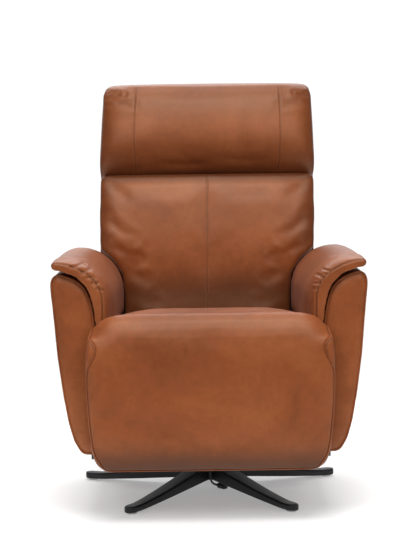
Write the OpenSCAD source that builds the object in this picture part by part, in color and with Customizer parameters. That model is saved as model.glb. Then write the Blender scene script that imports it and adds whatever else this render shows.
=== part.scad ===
// Swivel recliner on a star base: the chair turns on a ball race, the footrest swings up on a
// double parallelogram, the back reclines and the headrest tips forward.
// Millimetres, +Z up, the front of the chair faces -Y, origin on the floor under the swivel.

/* [Star base] */
// Number of legs
leg_count = 5; // [4:1:7]
// Distance from the swivel axis to the tip of a leg
leg_reach = 345; // [280:5:400]
// Width of a leg at its tip
leg_tip_w = 31; // [24:1:36]
// Width of a leg at the hub
leg_root_w = 50; // [36:1:52]
// Thickness of a leg at its tip
leg_tip_t = 15; // [11:1:20]
// Thickness of a leg at the hub
leg_root_t = 36; // [24:1:46]
// Height of the hub's underside above the floor
hub_z = 28; // [20:1:36]
// Radius of the hub
hub_r = 48; // [44:1:56]
// Width of the bevel along the top edges of a leg
leg_bevel = 4; // [2:0.5:6]
// Radius of a floor glide
glide_r = 13; // [9:1:14]
// Height of a floor glide
glide_h = 5; // [3:0.5:8]

/* [Swivel] */
// Radius of the upright spindle
spindle_r = 19; // [16:0.5:22]
// Bore radius of the hollow spindle
spindle_bore_r = 12; // [8:0.5:13]
// Running clearance of the turning fits
run_gap = 0.06; // [0.03:0.01:0.09]
// Radius of the ring of bearing balls
ball_ring_r = 34; // [32:0.5:36]
// Radius of one bearing ball
ball_r = 3; // [2:0.25:3.5]
// Number of bearing balls
ball_count = 16; // [8:1:20]
// Thickness of a bearing race
race_t = 3; // [2:0.5:5]
// Height of the swivel plate's underside
plate_z = 118; // [106:1:128]
// Thickness of the swivel plate
plate_t = 6; // [4:0.5:10]

/* [Steel frame] */
// Room for the footrest linkage and a side plate on each side of the seat frame
linkage_room = 35; // [33:1:45]
// Thickness of the side plates and of the links
link_t = 4; // [3:0.25:4.5]
// Width of a link bar
link_w = 19; // [16:0.5:20]
// Height of a cross tube
tube_h = 26; // [20:1:30]
// Depth of a cross tube
tube_d = 30; // [24:1:40]

/* [Seat] */
// Height of the seat frame's underside
seat_frame_z = 310; // [306:1:316]
// Height of the seat frame
seat_frame_h = 50; // [40:1:54]
// Width of the seat frame
seat_frame_w = 410; // [380:2:420]
// Height of the crest of the seat above the floor
seat_crest_z = 490; // [475:1:510]
// How far the footrest reaches over the front of each arm
chaise_lap = 42; // [20:1:60]
// Gap between the arms' pads and the footrest
chaise_gap = 11; // [6:1:20]
// Height of the lower edge of the footrest
chaise_low_z = 134; // [120:2:180]
// Thickness of the footrest pad
pad_t = 45; // [36:1:45]
// Thickness of the footrest board
board_t = 12; // [9:0.5:13]

/* [Arms] */
// Width of an arm at its widest
arm_w = 126; // [100:2:150]
// Distance from the swivel axis to the front of an arm
arm_reach = 360; // [330:2:380]
// Distance from the rear of an arm to the back hinge
arm_rear_gap = 50; // [45:1:80]
// Height of the underside of an arm
arm_z = 165; // [155:1:180]
// Height of an arm below its pad
arm_h = 418; // [380:2:440]
// Height of the crown of the pad above the arm
pad_rise = 37; // [30:1:45]
// Thickness of an arm's side walls
arm_wall = 8; // [5:0.5:12]
// Height of the black strip under an arm
arm_cap_h = 12; // [8:1:16]

/* [Back] */
// Lean of the back at rest
back_lean = 14; // [10:1:18]
// Length of the back up to the headrest, along its lean
back_len = 415; // [400:5:420]
// How far the back and the headrest reach over each arm
back_lap = 42; // [20:1:60]
// Gap between the back cushion and each arm
lumbar_gap = 39; // [36:1:60]
// Thickness of the back cushion
back_pad_t = 62; // [50:1:64]
// Depth of the back shell behind the cushion
back_shell_d = 88; // [80:1:100]
// Length of the headrest along the lean
head_len = 256; // [220:2:280]
// Thickness of the headrest cushion
head_pad_t = 95; // [80:1:100]
// Furthest recline of the back
recline_max = 40; // [20:1:40]

/* [Controls] */
// Radius of a push button
button_r = 7; // [5:0.5:8]
// Distance between neighbouring buttons
button_pitch = 26; // [20:1:30]

/* [Hidden] */
$fn = 48;
fine_fn = 96;

// Colours
black_coat = "#17171a";
steel_grey = "#8d9096";
bright_steel = "#b9bcc2";
tan_leather = "#99562f";
ply_wood = "#c69a63";
clear_grey = "#b8b8b4";
dark_plastic = "#222225";
board_green = "#1d5a35";

// Shared small sizes
over = 2;
touch_gap = 0.3;
weld = 0.5;
layer_gap = 0.5;
seam_gap = 0.1;

// The swivel stack, from the hub upwards
hub_top = hub_z + leg_root_t;
ball_play = 0.1;
ball_z = hub_top + race_t + ball_r + ball_play;
upper_race_z = ball_z + ball_r + ball_play;
race_margin_share = 2.5;
race_r = ball_ring_r + race_margin_share * ball_r;
bearing_wall = 8;
bearing_r = spindle_r + bearing_wall;
shroud_wall = 1.5;
shroud_gap = 1.2;
shroud_r = race_r + shroud_gap;
shroud_clear = 4;
plate_top = plate_z + plate_t;
nut_flange_t = 3;
nut_h = 12;
nut_wall = 6;
nut_lip = 4;
nut_r = spindle_r + nut_wall;
nut_flange_r = nut_r + nut_lip;
spindle_lift = 2;
spindle_z = hub_z + spindle_lift;
spindle_top = plate_top + touch_gap + nut_h;
cage_t = 1.6;
cage_side = 3.4;
gland_h = 14;
gland_drop = 8;
gland_z = hub_z + gland_drop;

// The free lead under the hub, its route chosen by hand
lead_r = 2.5;
lead_sides = 8;
lead_drop = 10;
lead_bend_r = 18;
lead_bend_steps = 6;
lead_low_z = gland_z - lead_drop - lead_bend_r;
plug_r = 7.6;
plug_len = 33;
plug_tail_len = 12;
plug_tail_r = 4;
plug_mouth_r = 5.5;
plug_mouth_len = 6;
lead_heading = -45;

// The legs
leg_flat_margin = 6;
glide_inset = 20;
glide_at = leg_reach - glide_inset;
leg_flat_from = glide_at - glide_r - leg_flat_margin;
leg_start = hub_r / 2;
leg_under_share = 1.15;
leg_top_share = 1.35;
leg_low_bevel = leg_bevel / 3;
bevel_share = 0.9;
leg_steps = 6;
tip_angles = [0, 25, 50, 70, 84];
glide_stem_r = 4;
glide_stem_h = 8;
glide_slack = 0.1;
first_leg = -90 + 180 / leg_count;

// The steel frame
frame_half = seat_frame_w / 2 + linkage_room;
arm_gap = 6;
arm_in = frame_half + arm_gap;
plate_in = frame_half - link_t;
crank_x = plate_in - layer_gap - link_t;
coupler_x = crank_x - layer_gap - link_t;
bracket_x = coupler_x - layer_gap - link_t;
link_r = link_w / 2;
eye_wall = 2.5;
eye_r = link_r + eye_wall;
plate_edge = 4;
plate_eye_r = eye_r + plate_edge;
rivet_r = 4;
rivet_head_r = 7;
rivet_head_t = 2;
tube_front_y = -80;
tube_rear_y = 120;
plate_half_w = 100;
plate_margin = 15;
plate_bolt_x = 75;
bolt_r = 5;
bolt_slack = 0.1;
bolt_head_r = 9;
bolt_head_t = 5;
tube_top = plate_top + tube_h;
post_w = 25;
post_inset = 55;
post_x = seat_frame_w / 2 - post_inset;
post_pad_w = 60;
post_pad_t = 4;

// Footrest linkage, in (y, z): the footrest turns about a pole at the crease of the cover
fold_deg = 80;
arm_pad_proud = 14;
pole = [-arm_reach - arm_pad_proud - chaise_gap, seat_crest_z - pad_t];
chaise_front = pad_t - pole[0];
crank_back = 210;
arm_rest_deg = 110;
near_reach = 75;
far_reach = 130;
swing_gap = 9.9;
rear_crank_share = 1.3;
crank_down = (pole[1] - tube_top - far_reach - link_r - swing_gap) / rear_crank_share;
front_pivot = pole + [crank_back, -crank_down];
rear_pivot = pole + rear_crank_share * [crank_back, -crank_down];
rest_dir = [-cos(arm_rest_deg), -sin(arm_rest_deg)];
near_arm = near_reach * rest_dir;
far_arm = far_reach * rest_dir;
torque_reach = (near_reach + far_reach) / 2;
torque_r = 8;

// Drive of the footrest: a straight slide along the chord of the torque tube's arc
function turned(v, a) = [v[0] * cos(a) - v[1] * sin(a), v[0] * sin(a) + v[1] * cos(a)];
function unit(v) = v / norm(v);
torque_rest = front_pivot + torque_reach * rest_dir;
torque_end = front_pivot + torque_reach * turned(rest_dir, -fold_deg);
foot_stroke = norm(torque_end - torque_rest);
foot_dir = unit(torque_end - torque_rest);
foot_sag = torque_reach * (1 - cos(fold_deg / 2));
yoke_wall = 9;
yoke_t = 5;
yoke_gap = 12;
foot_slack = 2.8;
rod_r = 8;
rod_show = 24;
rod_inside = 30;
sleeve_r = 14;
gear_len = 50;
gear_w = 44;
motor_r = 20;
motor_len = 92;
sleeve_spare = 12;
foot_sleeve_len = foot_stroke + rod_inside + sleeve_spare;

// The control box on the swivel plate
control_box_w = 34;
control_box_len = 112;
control_box_h = 26;

// Back hinge and its drive
hinge_y = 235;
hinge_drop = 15;
hinge_z = seat_frame_z + seat_frame_h - hinge_drop;
hinge_r = 6;
lever_reach = 75;
lever_rest_deg = 90 + recline_max / 2;
lever_x = 75;
lever_t = 6;
lever_pin_r = 5;
back_slack = 0.8;
back_sag = lever_reach * (1 - cos(recline_max / 2));
back_stroke = 2 * lever_reach * sin(recline_max / 2);
lever_rest = [hinge_y, hinge_z] + lever_reach * [-cos(lever_rest_deg), -sin(lever_rest_deg)];
back_sleeve_spare = 42;
back_sleeve_len = back_stroke + rod_inside + back_sleeve_spare;
hinge_tube_r = 11;
lever_r = 10;
pin_end = 2;
back_neck = 18;
yoke_clear = 3;
back_rod_show = back_neck + yoke_wall + yoke_clear;

// Seat
seat_rail_w = 30;
seat_rear_y = 170;
seat_front_inset = 55;
seat_front_y = pole[0] + seat_front_inset;
seat_frame_top = seat_frame_z + seat_frame_h;
wire_t = 3.6;
seat_springs_count = 5;
seat_foam_z = seat_frame_top + wire_t + touch_gap;
seat_foam_rear_y = 122;
bridge_inset = 7;
chaise_w = 2 * (arm_in + chaise_lap);
bridge_w = chaise_w - 2 * bridge_inset;
pad_bulge_share = 0.17;
seat_side_gap = 1.6;
seat_w = 2 * (arm_in - arm_w * pad_bulge_share - seat_side_gap);
spring_turns = 16;
spring_swing_share = 0.25;
seat_curve_share = 3.6;

// Arms
arm_rear_y = hinge_y - arm_rear_gap;
arm_len = arm_reach + arm_rear_y;
arm_front_t = 14;
former_t = 18;
stringer_w = 30;
arm_bolt_shares = [0.41, 0.39, 0.35];
arm_bolt_spots = [
    rear_pivot + arm_bolt_shares[0] * ([hinge_y, hinge_z] - rear_pivot),
    [tube_rear_y, tube_top] + arm_bolt_shares[1] * (rear_pivot - [tube_rear_y, tube_top]),
    [tube_rear_y, tube_top] + arm_bolt_shares[2] * ([hinge_y, hinge_z] - [tube_rear_y, tube_top])];
bolt_end = 2;
arm_bolt_grip = arm_wall + former_t + bolt_end;
spacer_r = 12;

// Back, in its own leaning frame: x across, y rearwards from the hinge, z up along the lean
pad_front = 122;
pad_rear = pad_front - back_pad_t;
back_w = 2 * (arm_in + back_lap);
back_half = back_w / 2;
lumbar_w = 2 * (arm_in - lumbar_gap);
rear_face = back_shell_d - pad_rear;
shell_wall = 12;
shell_gap = 2;
upright_w = 25;
upright_d = 40;
upright_y = -pad_rear + wire_t + touch_gap;
rail_h = 30;
top_rail_d = 25;
back_springs_count = 4;
head_axis_in = 15;
head_axis_rise = 22;
head_axis = [-pad_rear - head_axis_in, back_len + head_axis_rise];
head_tip_deg = 25;
head_gap = 34;
head_low = back_len + head_gap;
head_pad_front = 125;
head_ply_t = 15;
head_lever = 40;
head_pin_r = 4;
head_ear_x = 103;
head_ear_r = 8;
head_lever_r = 6;
head_pin_rest = head_axis + head_lever * [cos(head_tip_deg / 2), -sin(head_tip_deg / 2)];
head_rod_r = 5;
rail_gap = 2.95;
top_rail_y = head_pin_rest[0] + head_rod_r + rail_gap;
head_sleeve_r = 9;
head_sleeve_len = 120;
head_gear_w = 38;
head_gear_len = 42;
head_mouth_drop = 6;
head_sleeve_share = 0.8;
head_sag = head_lever * (1 - cos(head_tip_deg / 2));
head_yoke_t = 3;
head_yoke_wall = 4;
head_neck = 8;
back_spring_swing = 14;
back_spring_turns = 14;
back_spring_shares = [0.22, 0.6];
cushion_curve_share = 6;

// Controls on the outer side of the arm at -X
panel_y = -215;
panel_share = 0.65;
bezel_end = 8;
bezel_len = 4 * button_pitch + 2 * bezel_end;
bezel_w = 26;
bezel_proud = 1.5;
bezel_lip = 3;
bezel_fit = 0.2;
bezel_seat = 0.1;
button_round = 0.8;
button_dish = 0.7;
button_dish_share = 0.7;
button_travel = 1.2;
button_proud = 2.2;
button_gap = 0.12;
board_gap = 1;
circuit_t = 1.6;

// Half a chair is drawn at +X, and its mirror image gives the other half
module both_sides() {
    children();
    mirror([1, 0, 0]) children();
}

// A flat outline in (y, z), drawn from x0 towards +X
module side_sheet(x0, t) {
    translate([x0, 0, 0]) rotate([90, 0, 90]) linear_extrude(height = t) children();
}

// A bar with round ends between two points of a plane
module bar(p, q, r) {
    along = unit(q - p);
    across = r * [-along[1], along[0]];
    translate(p) circle(r = r);
    translate(q) circle(r = r);
    polygon([p + across, p - across, q - across, q + across]);
}

// A round pin along X
module pin(x0, x1, at, r) {
    translate([x0, at[0], at[1]]) rotate([0, 90, 0]) cylinder(r = r, h = x1 - x0);
}

// A block from its two corners
module block(low, high) {
    translate(low) cube(high - low);
}

// A closed skin over rings that go round anticlockwise about the way the rings advance
module skin(rings) {
    n = len(rings[0]);
    last = len(rings) - 1;
    middle = [for (ring = [rings[0], rings[last]]) [for (k = [0:2]) sum([for (p = ring) p[k]]) / n]];
    polyhedron(
        points = concat([for (ring = rings) for (p = ring) p], middle),
        faces = concat(
            [for (i = [0:last - 1]) for (j = [0:n - 1])
                let (a = i * n + j, b = i * n + (j + 1) % n)
                each [[a, a + n, b + n], [a, b + n, b]]],
            [for (j = [0:n - 1]) [(last + 1) * n, j, (j + 1) % n]],
            [for (j = [0:n - 1]) [(last + 1) * n + 1, last * n + (j + 1) % n, last * n + j]]),
        convexity = 6);
}

function sum(v, i = 0) = i < len(v) ? v[i] + sum(v, i + 1) : 0;

// A rounded loop: half width, low and high side, and how square its corners are
loop_points = 28;
function signed_power(v, e) = sign(v) * pow(abs(v), e);
function loop(half, low, high, square) = [for (i = [0:loop_points - 1])
    let (a = 360 * (i + 0.5) / loop_points)
    [half * signed_power(cos(a), 2 / square),
     (low + high) / 2 + (high - low) / 2 * signed_power(sin(a), 2 / square)]];

// A polygon drawn in by a distance, for one that goes round anticlockwise
function edge_in(a, b) = unit([a[1] - b[1], b[0] - a[0]]);
function drawn_in(shape, d) = [for (i = [0:len(shape) - 1])
    let (n = len(shape),
         u = edge_in(shape[(i + n - 1) % n], shape[i]),
         v = edge_in(shape[i], shape[(i + 1) % n]))
    shape[i] + d * (u + v) / (1 + u * v)];

// STAR BASE

function leg_share(r) = min(1, max(0, (r - hub_r) / (leg_flat_from - hub_r)));
function leg_half(r) = (leg_root_w + (leg_tip_w - leg_root_w) * leg_share(r)) / 2;
function leg_low(r) = glide_h + (hub_z - glide_h) * pow(1 - leg_share(r), leg_under_share);
function leg_high(r) =
    leg_low(r) + leg_tip_t + (leg_root_t - leg_tip_t) * pow(1 - leg_share(r), leg_top_share);
function leg_ring(r, half) = [
    [r, -half, leg_low(r) + leg_low_bevel], [r, -half + min(half, leg_low_bevel) * bevel_share, leg_low(r)],
    [r, half - min(half, leg_low_bevel) * bevel_share, leg_low(r)], [r, half, leg_low(r) + leg_low_bevel],
    [r, half, leg_high(r) - leg_bevel], [r, half - min(half, leg_bevel) * bevel_share, leg_high(r)],
    [r, -half + min(half, leg_bevel) * bevel_share, leg_high(r)], [r, -half, leg_high(r) - leg_bevel]];

module leg() {
    tip_r = leg_tip_w / 2;
    skin(concat(
        [for (i = [0:leg_steps - 1]) let (r = leg_start + (leg_reach - tip_r - leg_start) * i / leg_steps)
            leg_ring(r, leg_half(r))],
        [for (a = tip_angles) leg_ring(leg_reach - tip_r + tip_r * sin(a), tip_r * cos(a))]));
}

module round_legs() {
    for (i = [0:leg_count - 1]) rotate(first_leg + i * 360 / leg_count) children();
}

module star_base() {
    color(black_coat) difference() {
        union() {
            translate([0, 0, hub_z]) cylinder(r = hub_r, h = leg_root_t);
            round_legs() leg();
        }
        translate([0, 0, hub_z - over]) cylinder(r = spindle_r + run_gap, h = leg_root_t + 2 * over);
        round_legs() translate([glide_at, 0, 0])
            cylinder(r = glide_stem_r + glide_slack, h = glide_h + glide_stem_h + glide_slack);
    }
}

module foot_glides() {
    color(clear_grey) round_legs() translate([glide_at, 0, 0]) {
        rotate_extrude() polygon([
            [0, 0], [glide_r * 0.85, 0], [glide_r, glide_h * 0.4], [glide_r, glide_h * 0.8],
            [glide_r * 0.9, glide_h], [glide_stem_r, glide_h], [glide_stem_r, glide_h + glide_stem_h],
            [0, glide_h + glide_stem_h]]);
    }
}

module ring_tube(r_in, r_out, z0, z1) {
    difference() {
        translate([0, 0, z0]) cylinder(r = r_out, h = z1 - z0, $fn = fine_fn);
        translate([0, 0, z0 - over]) cylinder(r = r_in, h = z1 - z0 + 2 * over, $fn = fine_fn);
    }
}

module swivel_spindle() {
    color(bright_steel) ring_tube(spindle_bore_r, spindle_r, spindle_z, spindle_top);
}

module round_balls() {
    for (i = [0:ball_count - 1]) rotate(i * 360 / ball_count) translate([ball_ring_r, 0, ball_z]) children();
}

module lower_race() {
    color(bright_steel) ring_tube(spindle_r + run_gap, race_r, hub_top, hub_top + race_t);
}

module upper_race() {
    color(bright_steel) ring_tube(spindle_r + run_gap, race_r, upper_race_z, upper_race_z + race_t);
}

module ball_cage() {
    color(dark_plastic) difference() {
        ring_tube(ball_ring_r - cage_side, ball_ring_r + cage_side, ball_z - cage_t / 2, ball_z + cage_t / 2);
        round_balls() translate([0, 0, -ball_r]) cylinder(r = ball_r + ball_play, h = 2 * ball_r);
    }
}

module bearing_balls() {
    color(bright_steel) round_balls() sphere(r = ball_r);
}

module spindle_nut() {
    z0 = plate_top + touch_gap;
    color(steel_grey) difference() {
        union() {
            translate([0, 0, z0]) cylinder(r = nut_flange_r, h = nut_flange_t);
            translate([0, 0, z0]) cylinder(r = nut_r, h = nut_h, $fn = 6);
        }
        translate([0, 0, z0 - over]) cylinder(r = spindle_r + run_gap, h = nut_h + 2 * over);
    }
}

module column_shroud() {
    color(dark_plastic) ring_tube(shroud_r, shroud_r + shroud_wall, hub_top, plate_z - shroud_clear);
}

module cable_gland() {
    color(dark_plastic) ring_tube(lead_r, spindle_bore_r, gland_z, gland_z + gland_h);
}

// THE SHORT POWER LEAD

lead_path = concat(
    [[0, gland_z], [0, gland_z - lead_drop]],
    [for (i = [1:lead_bend_steps]) let (a = 90 * i / lead_bend_steps)
        [lead_bend_r * (1 - cos(a)), gland_z - lead_drop - lead_bend_r * sin(a)]]);

function path_way(i) = let (n = len(lead_path) - 1)
    i == n ? [1, 0] : i == 0 ? [0, -1] : unit(lead_path[i + 1] - lead_path[i - 1]);

module lead_plane() {
    rotate(lead_heading) children();
}

module power_lead() {
    color(black_coat) lead_plane() skin([for (i = [0:len(lead_path) - 1])
        let (at = lead_path[i], way = path_way(i))
        [for (j = [0:lead_sides - 1]) let (a = 360 * j / lead_sides)
            [at[0] - lead_r * sin(a) * way[1], lead_r * cos(a), at[1] + lead_r * sin(a) * way[0]]]]);
}

module dc_connector() {
    bell = 1.5;
    color(black_coat) lead_plane() translate([lead_bend_r, 0, lead_low_z]) rotate([0, 90, 0])
        rotate_extrude() polygon([
            [0, 0], [plug_tail_r - bell, 0], [plug_tail_r, plug_tail_len], [plug_r - bell, plug_tail_len],
            [plug_r, plug_tail_len + bell], [plug_r, plug_len], [plug_r - bell, plug_len + bell],
            [plug_mouth_r, plug_len + bell], [plug_mouth_r, plug_len + plug_mouth_len],
            [0, plug_len + plug_mouth_len]]);
}

// SWIVEL PLATE AND FRAME

plate_mid_y = (tube_front_y + tube_rear_y) / 2;
plate_half_d = (tube_rear_y - tube_front_y) / 2 + plate_margin;

module four_bolts() {
    for (x = [-plate_bolt_x, plate_bolt_x], y = [tube_front_y, tube_rear_y]) translate([x, y, 0]) children();
}

module swivel_plate() {
    color(steel_grey) difference() {
        union() {
            block([-plate_half_w, plate_mid_y - plate_half_d, plate_z],
                  [plate_half_w, plate_mid_y + plate_half_d, plate_top]);
            translate([0, 0, upper_race_z + race_t])
                cylinder(r = bearing_r, h = plate_z - upper_race_z - race_t + weld);
        }
        translate([0, 0, upper_race_z]) cylinder(r = spindle_r + run_gap, h = plate_top);
        four_bolts() translate([0, 0, plate_z - over])
            cylinder(r = bolt_r + bolt_slack, h = plate_t + 2 * over);
    }
}

module plate_bolts() {
    color(bright_steel) four_bolts() {
        translate([0, 0, plate_z - bolt_head_t]) cylinder(r = bolt_head_r, h = bolt_head_t);
        translate([0, 0, plate_z - weld]) cylinder(r = bolt_r, h = tube_top - plate_z + 2 * weld);
        translate([0, 0, tube_top]) cylinder(r = bolt_head_r, h = bolt_head_t, $fn = 6);
    }
}

module cross_frame() {
    foot_rear = torque_rest - foot_dir * (rod_show + foot_sleeve_len + gear_len / 2);
    back_rear = lever_rest - [back_rod_show + back_stroke + back_sleeve_len + gear_len / 2, 0];
    color(steel_grey) difference() {
        union() {
            for (y = [tube_front_y, tube_rear_y]) {
                block([-plate_in, y - tube_d / 2, plate_top], [plate_in, y + tube_d / 2, tube_top]);
                both_sides() {
                    block([post_x - post_w / 2, y - post_w / 2, tube_top - weld],
                          [post_x + post_w / 2, y + post_w / 2, seat_frame_z - post_pad_t + weld]);
                    block([post_x - post_pad_w / 2, y - tube_d / 2, seat_frame_z - post_pad_t],
                          [post_x + post_pad_w / 2, y + tube_d / 2, seat_frame_z]);
                }
            }
            translate([0, foot_rear[0], plate_top]) stand(foot_rear[1] - plate_top, 1);
            translate([lever_x, back_rear[0], plate_top]) stand(back_rear[1] - plate_top, -1);
        }
        four_bolts() translate([0, 0, plate_top - over])
            cylinder(r = bolt_r + bolt_slack, h = tube_h + 2 * over);
    }
}

// A folded stand on the swivel plate, whose cheek is bolted to one side of a drive's gear case
module stand(axis_h, side) {
    cheek_t = 3;
    cheek_at = gear_w / 2 + touch_gap;
    deep = gear_len / 4;
    mirror([side < 0 ? 1 : 0, 0, 0]) {
        block([cheek_at - gear_w / 2, -deep, 0], [cheek_at + cheek_t, deep, cheek_t]);
        block([cheek_at, -deep, 0], [cheek_at + cheek_t, deep, axis_h]);
    }
}

module side_plates() {
    color(steel_grey) both_sides() difference() {
        side_sheet(plate_in, link_t) difference() {
            union() {
                bar([tube_front_y, tube_top], [tube_rear_y, tube_top], tube_h);
                bar([tube_front_y, tube_top], front_pivot, plate_eye_r);
                bar([tube_rear_y, tube_top], rear_pivot, plate_eye_r);
                bar(front_pivot, rear_pivot, eye_r);
                bar(rear_pivot, [hinge_y, hinge_z], plate_eye_r);
                bar([tube_rear_y, tube_top], [hinge_y, hinge_z], plate_eye_r);
            }
            translate(front_pivot) circle(r = rivet_r + bolt_slack);
            translate(rear_pivot) circle(r = rivet_r + bolt_slack);
            translate([hinge_y, hinge_z]) circle(r = hinge_r + bolt_slack);
            for (p = arm_bolt_spots) translate(p) circle(r = bolt_r + bolt_slack);
        }
    }
}

module pivot_bolts() {
    color(bright_steel) both_sides() {
        for (p = [front_pivot, rear_pivot]) {
            pin(crank_x - weld, frame_half + weld, p, rivet_r);
            pin(crank_x - rivet_head_t, crank_x - layer_gap / 2, p, rivet_head_r);
            pin(frame_half, frame_half + rivet_head_t, p, rivet_head_r);
        }
        pin(bracket_x, frame_half + weld, [hinge_y, hinge_z], hinge_r);
        pin(frame_half, frame_half + link_t, [hinge_y, hinge_z], hinge_r + link_t);
    }
}

// FOOTREST LINKAGE

module link(p, q, more, x0) {
    side_sheet(x0, link_t) difference() {
        bar(p, q, link_r);
        for (at = concat([p, q], more)) translate(at) circle(r = rivet_r + run_gap);
    }
}

module crank_rivets(pivot) {
    for (at = [pivot + near_arm, pivot + far_arm]) {
        pin(coupler_x - weld, crank_x + weld, at, rivet_r);
        pin(coupler_x - rivet_head_t - layer_gap / 2, coupler_x - layer_gap / 2, at, rivet_head_r);
    }
}

module crank(pivot) {
    side_sheet(crank_x, link_t) difference() {
        bar(pivot, pivot + far_arm, link_r);
        translate(pivot) circle(r = rivet_r + run_gap);
    }
    crank_rivets(pivot);
}

module front_cranks() {
    color(bright_steel) {
        both_sides() crank(front_pivot);
        pin(-crank_x - weld, crank_x + weld, torque_rest, torque_r);
    }
}

module rear_cranks() {
    color(bright_steel) both_sides() crank(rear_pivot);
}

module upper_links() {
    color(steel_grey) both_sides()
        link(rear_pivot + near_arm, pole + near_arm, [front_pivot + near_arm], coupler_x);
}

module lower_links() {
    color(steel_grey) both_sides()
        link(rear_pivot + far_arm, pole + far_arm, [front_pivot + far_arm], coupler_x);
}

board_y = -chaise_front + pad_t + touch_gap;
chaise_shares = [
    [0.0, 0.80], [0.025, 0.90], [0.08, 0.955], [0.18, 0.972], [0.35, 0.983], [0.6, 0.996],
    [0.85, 1], [1, 0.99]];

module footrest_board() {
    inset = 30;
    half = chaise_w / 2 - inset;
    low = chaise_low_z + inset;
    color(ply_wood) block([-half, board_y, low], [half, board_y + board_t, pole[1] - board_t - layer_gap]);
}

module footrest_pad() {
    tall = pole[1] - layer_gap - chaise_low_z;
    edge_share = 0.93;
    crown_shift = 0.12;
    curve_share = 9;
    color(tan_leather) skin([for (row = chaise_shares)
        let (half = chaise_w / 2 * row[1], z = chaise_low_z + tall * row[0],
             crown = sin(180 * min(1, row[0] + crown_shift)),
             front = chaise_front - pad_t + pad_t * (edge_share + (1 - edge_share) * crown))
        [for (p = loop(half, -front, -chaise_front + pad_t, curve_share)) [p[0], p[1], z]]]);
}

module footrest_brackets() {
    foot_y = board_y + board_t;
    flange_low = pole[1] + far_arm[1] - link_w;
    flange_high = pole[1] + near_arm[1] + link_r;
    flange_w = 28;
    color(steel_grey) both_sides() {
        side_sheet(bracket_x, link_t) {
            bar(pole + far_arm, pole + near_arm, link_r);
            polygon([pole + near_arm + [0, link_r], pole + near_arm, pole + far_arm,
                pole + far_arm - [0, link_r], [foot_y, flange_low], [foot_y, flange_high]]);
        }
        block([bracket_x - flange_w, foot_y, flange_low], [bracket_x + link_t, foot_y + link_t, flange_high]);
        for (at = [pole + near_arm, pole + far_arm]) {
            pin(bracket_x + link_t - weld, crank_x, at, rivet_r);
            pin(crank_x - layer_gap / 2, crank_x + rivet_head_t, at, rivet_head_r);
        }
    }
}

// DRIVES: a motor, a gear case and a sleeve, and a rod that slides in it

// Drawn along +Z with the sleeve's mouth at the origin and the gear case below it
module drive_body(sleeve_len, rod, sleeve, case_w, case_len, motor_side) {
    scale = case_w / gear_w;
    difference() {
        union() {
            translate([0, 0, -sleeve_len]) cylinder(r = sleeve, h = sleeve_len);
            translate([-case_w / 2, -case_w / 2, -sleeve_len - case_len])
                cube([case_w, case_w, case_len + weld]);
            translate([motor_side * (case_w / 2 + motor_r * scale - weld), 0, -sleeve_len - case_len])
                cylinder(r = motor_r * scale, h = motor_len * scale);
        }
        translate([0, 0, -sleeve_len - case_len / 4]) cylinder(r = rod + run_gap, h = sleeve_len + case_len);
    }
}

// The sliding rod and its slotted yoke, drawn along +Z with the driven pin at the origin at rest
module drive_rod(len, rod, pin_size, slack, bulge, cheek_gap, cheek_t, wall, neck) {
    half = pin_size + slack;
    side = half + wall;
    translate([0, 0, -len]) cylinder(r = rod, h = len - neck - wall / 2);
    translate([-cheek_gap - cheek_t, -side, -neck - wall])
        cube([2 * (cheek_gap + cheek_t), bulge + 2 * side, wall]);
    for (x = [-cheek_gap - cheek_t, cheek_gap]) translate([x, 0, 0]) difference() {
        translate([0, -side, -neck - wall / 2]) cube([cheek_t, bulge + 2 * side, neck + side + wall / 2]);
        translate([-over, -half, -half]) cube([cheek_t + 2 * over, bulge + 2 * half, 2 * half]);
    }
}

// Puts +Z along a direction of the (y, z) plane and +Y to its right, where the arc bulges
module along_drive(at, way) {
    translate([0, at[0], at[1]]) rotate([-atan2(way[0], way[1]), 0, 0]) children();
}

module footrest_actuator() {
    color(dark_plastic) along_drive(torque_rest - foot_dir * rod_show, foot_dir)
        drive_body(foot_sleeve_len, rod_r, sleeve_r, gear_w, gear_len, -1);
}

module footrest_drive_rod() {
    color(bright_steel) along_drive(torque_rest, foot_dir) mirror([0, 1, 0])
        drive_rod(rod_show + foot_stroke + rod_inside, rod_r, torque_r, foot_slack, foot_sag,
            yoke_gap, yoke_t, yoke_wall, torque_r + foot_slack);
}

module back_actuator() {
    color(dark_plastic) translate([lever_x, 0, 0])
        along_drive(lever_rest - [back_rod_show + back_stroke, 0], [1, 0])
            drive_body(back_sleeve_len, rod_r, sleeve_r, gear_w, gear_len, 1);
}

module back_drive_rod() {
    cheek = lever_t / 2 + touch_gap;
    color(bright_steel) translate([lever_x, 0, 0]) along_drive(lever_rest, [1, 0])
        drive_rod(back_rod_show + back_stroke + rod_inside + sleeve_spare, rod_r, lever_pin_r, back_slack,
            back_sag, cheek, yoke_t, yoke_wall, back_neck);
}

module control_box() {
    color(dark_plastic) block([-plate_half_w + touch_gap, -control_box_len / 2, plate_top],
        [-plate_half_w + control_box_w, control_box_len / 2, plate_top + control_box_h]);
}

module inner_lead() {
    lead_rise = 22;
    lead_top = spindle_top + lead_rise;
    box_x = -plate_half_w + control_box_w / 2;
    color(black_coat) {
        translate([0, 0, gland_z + gland_h + touch_gap])
            cylinder(r = lead_r, h = lead_top - gland_z - gland_h - touch_gap);
        translate([0, 0, lead_top]) sphere(r = lead_r);
        translate([0, 0, lead_top]) rotate([0, -90, 0]) cylinder(r = lead_r, h = -box_x);
        translate([box_x, 0, lead_top]) sphere(r = lead_r);
        translate([box_x, 0, plate_top + control_box_h])
            cylinder(r = lead_r, h = lead_top - plate_top - control_box_h);
    }
}

// SEAT

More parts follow.
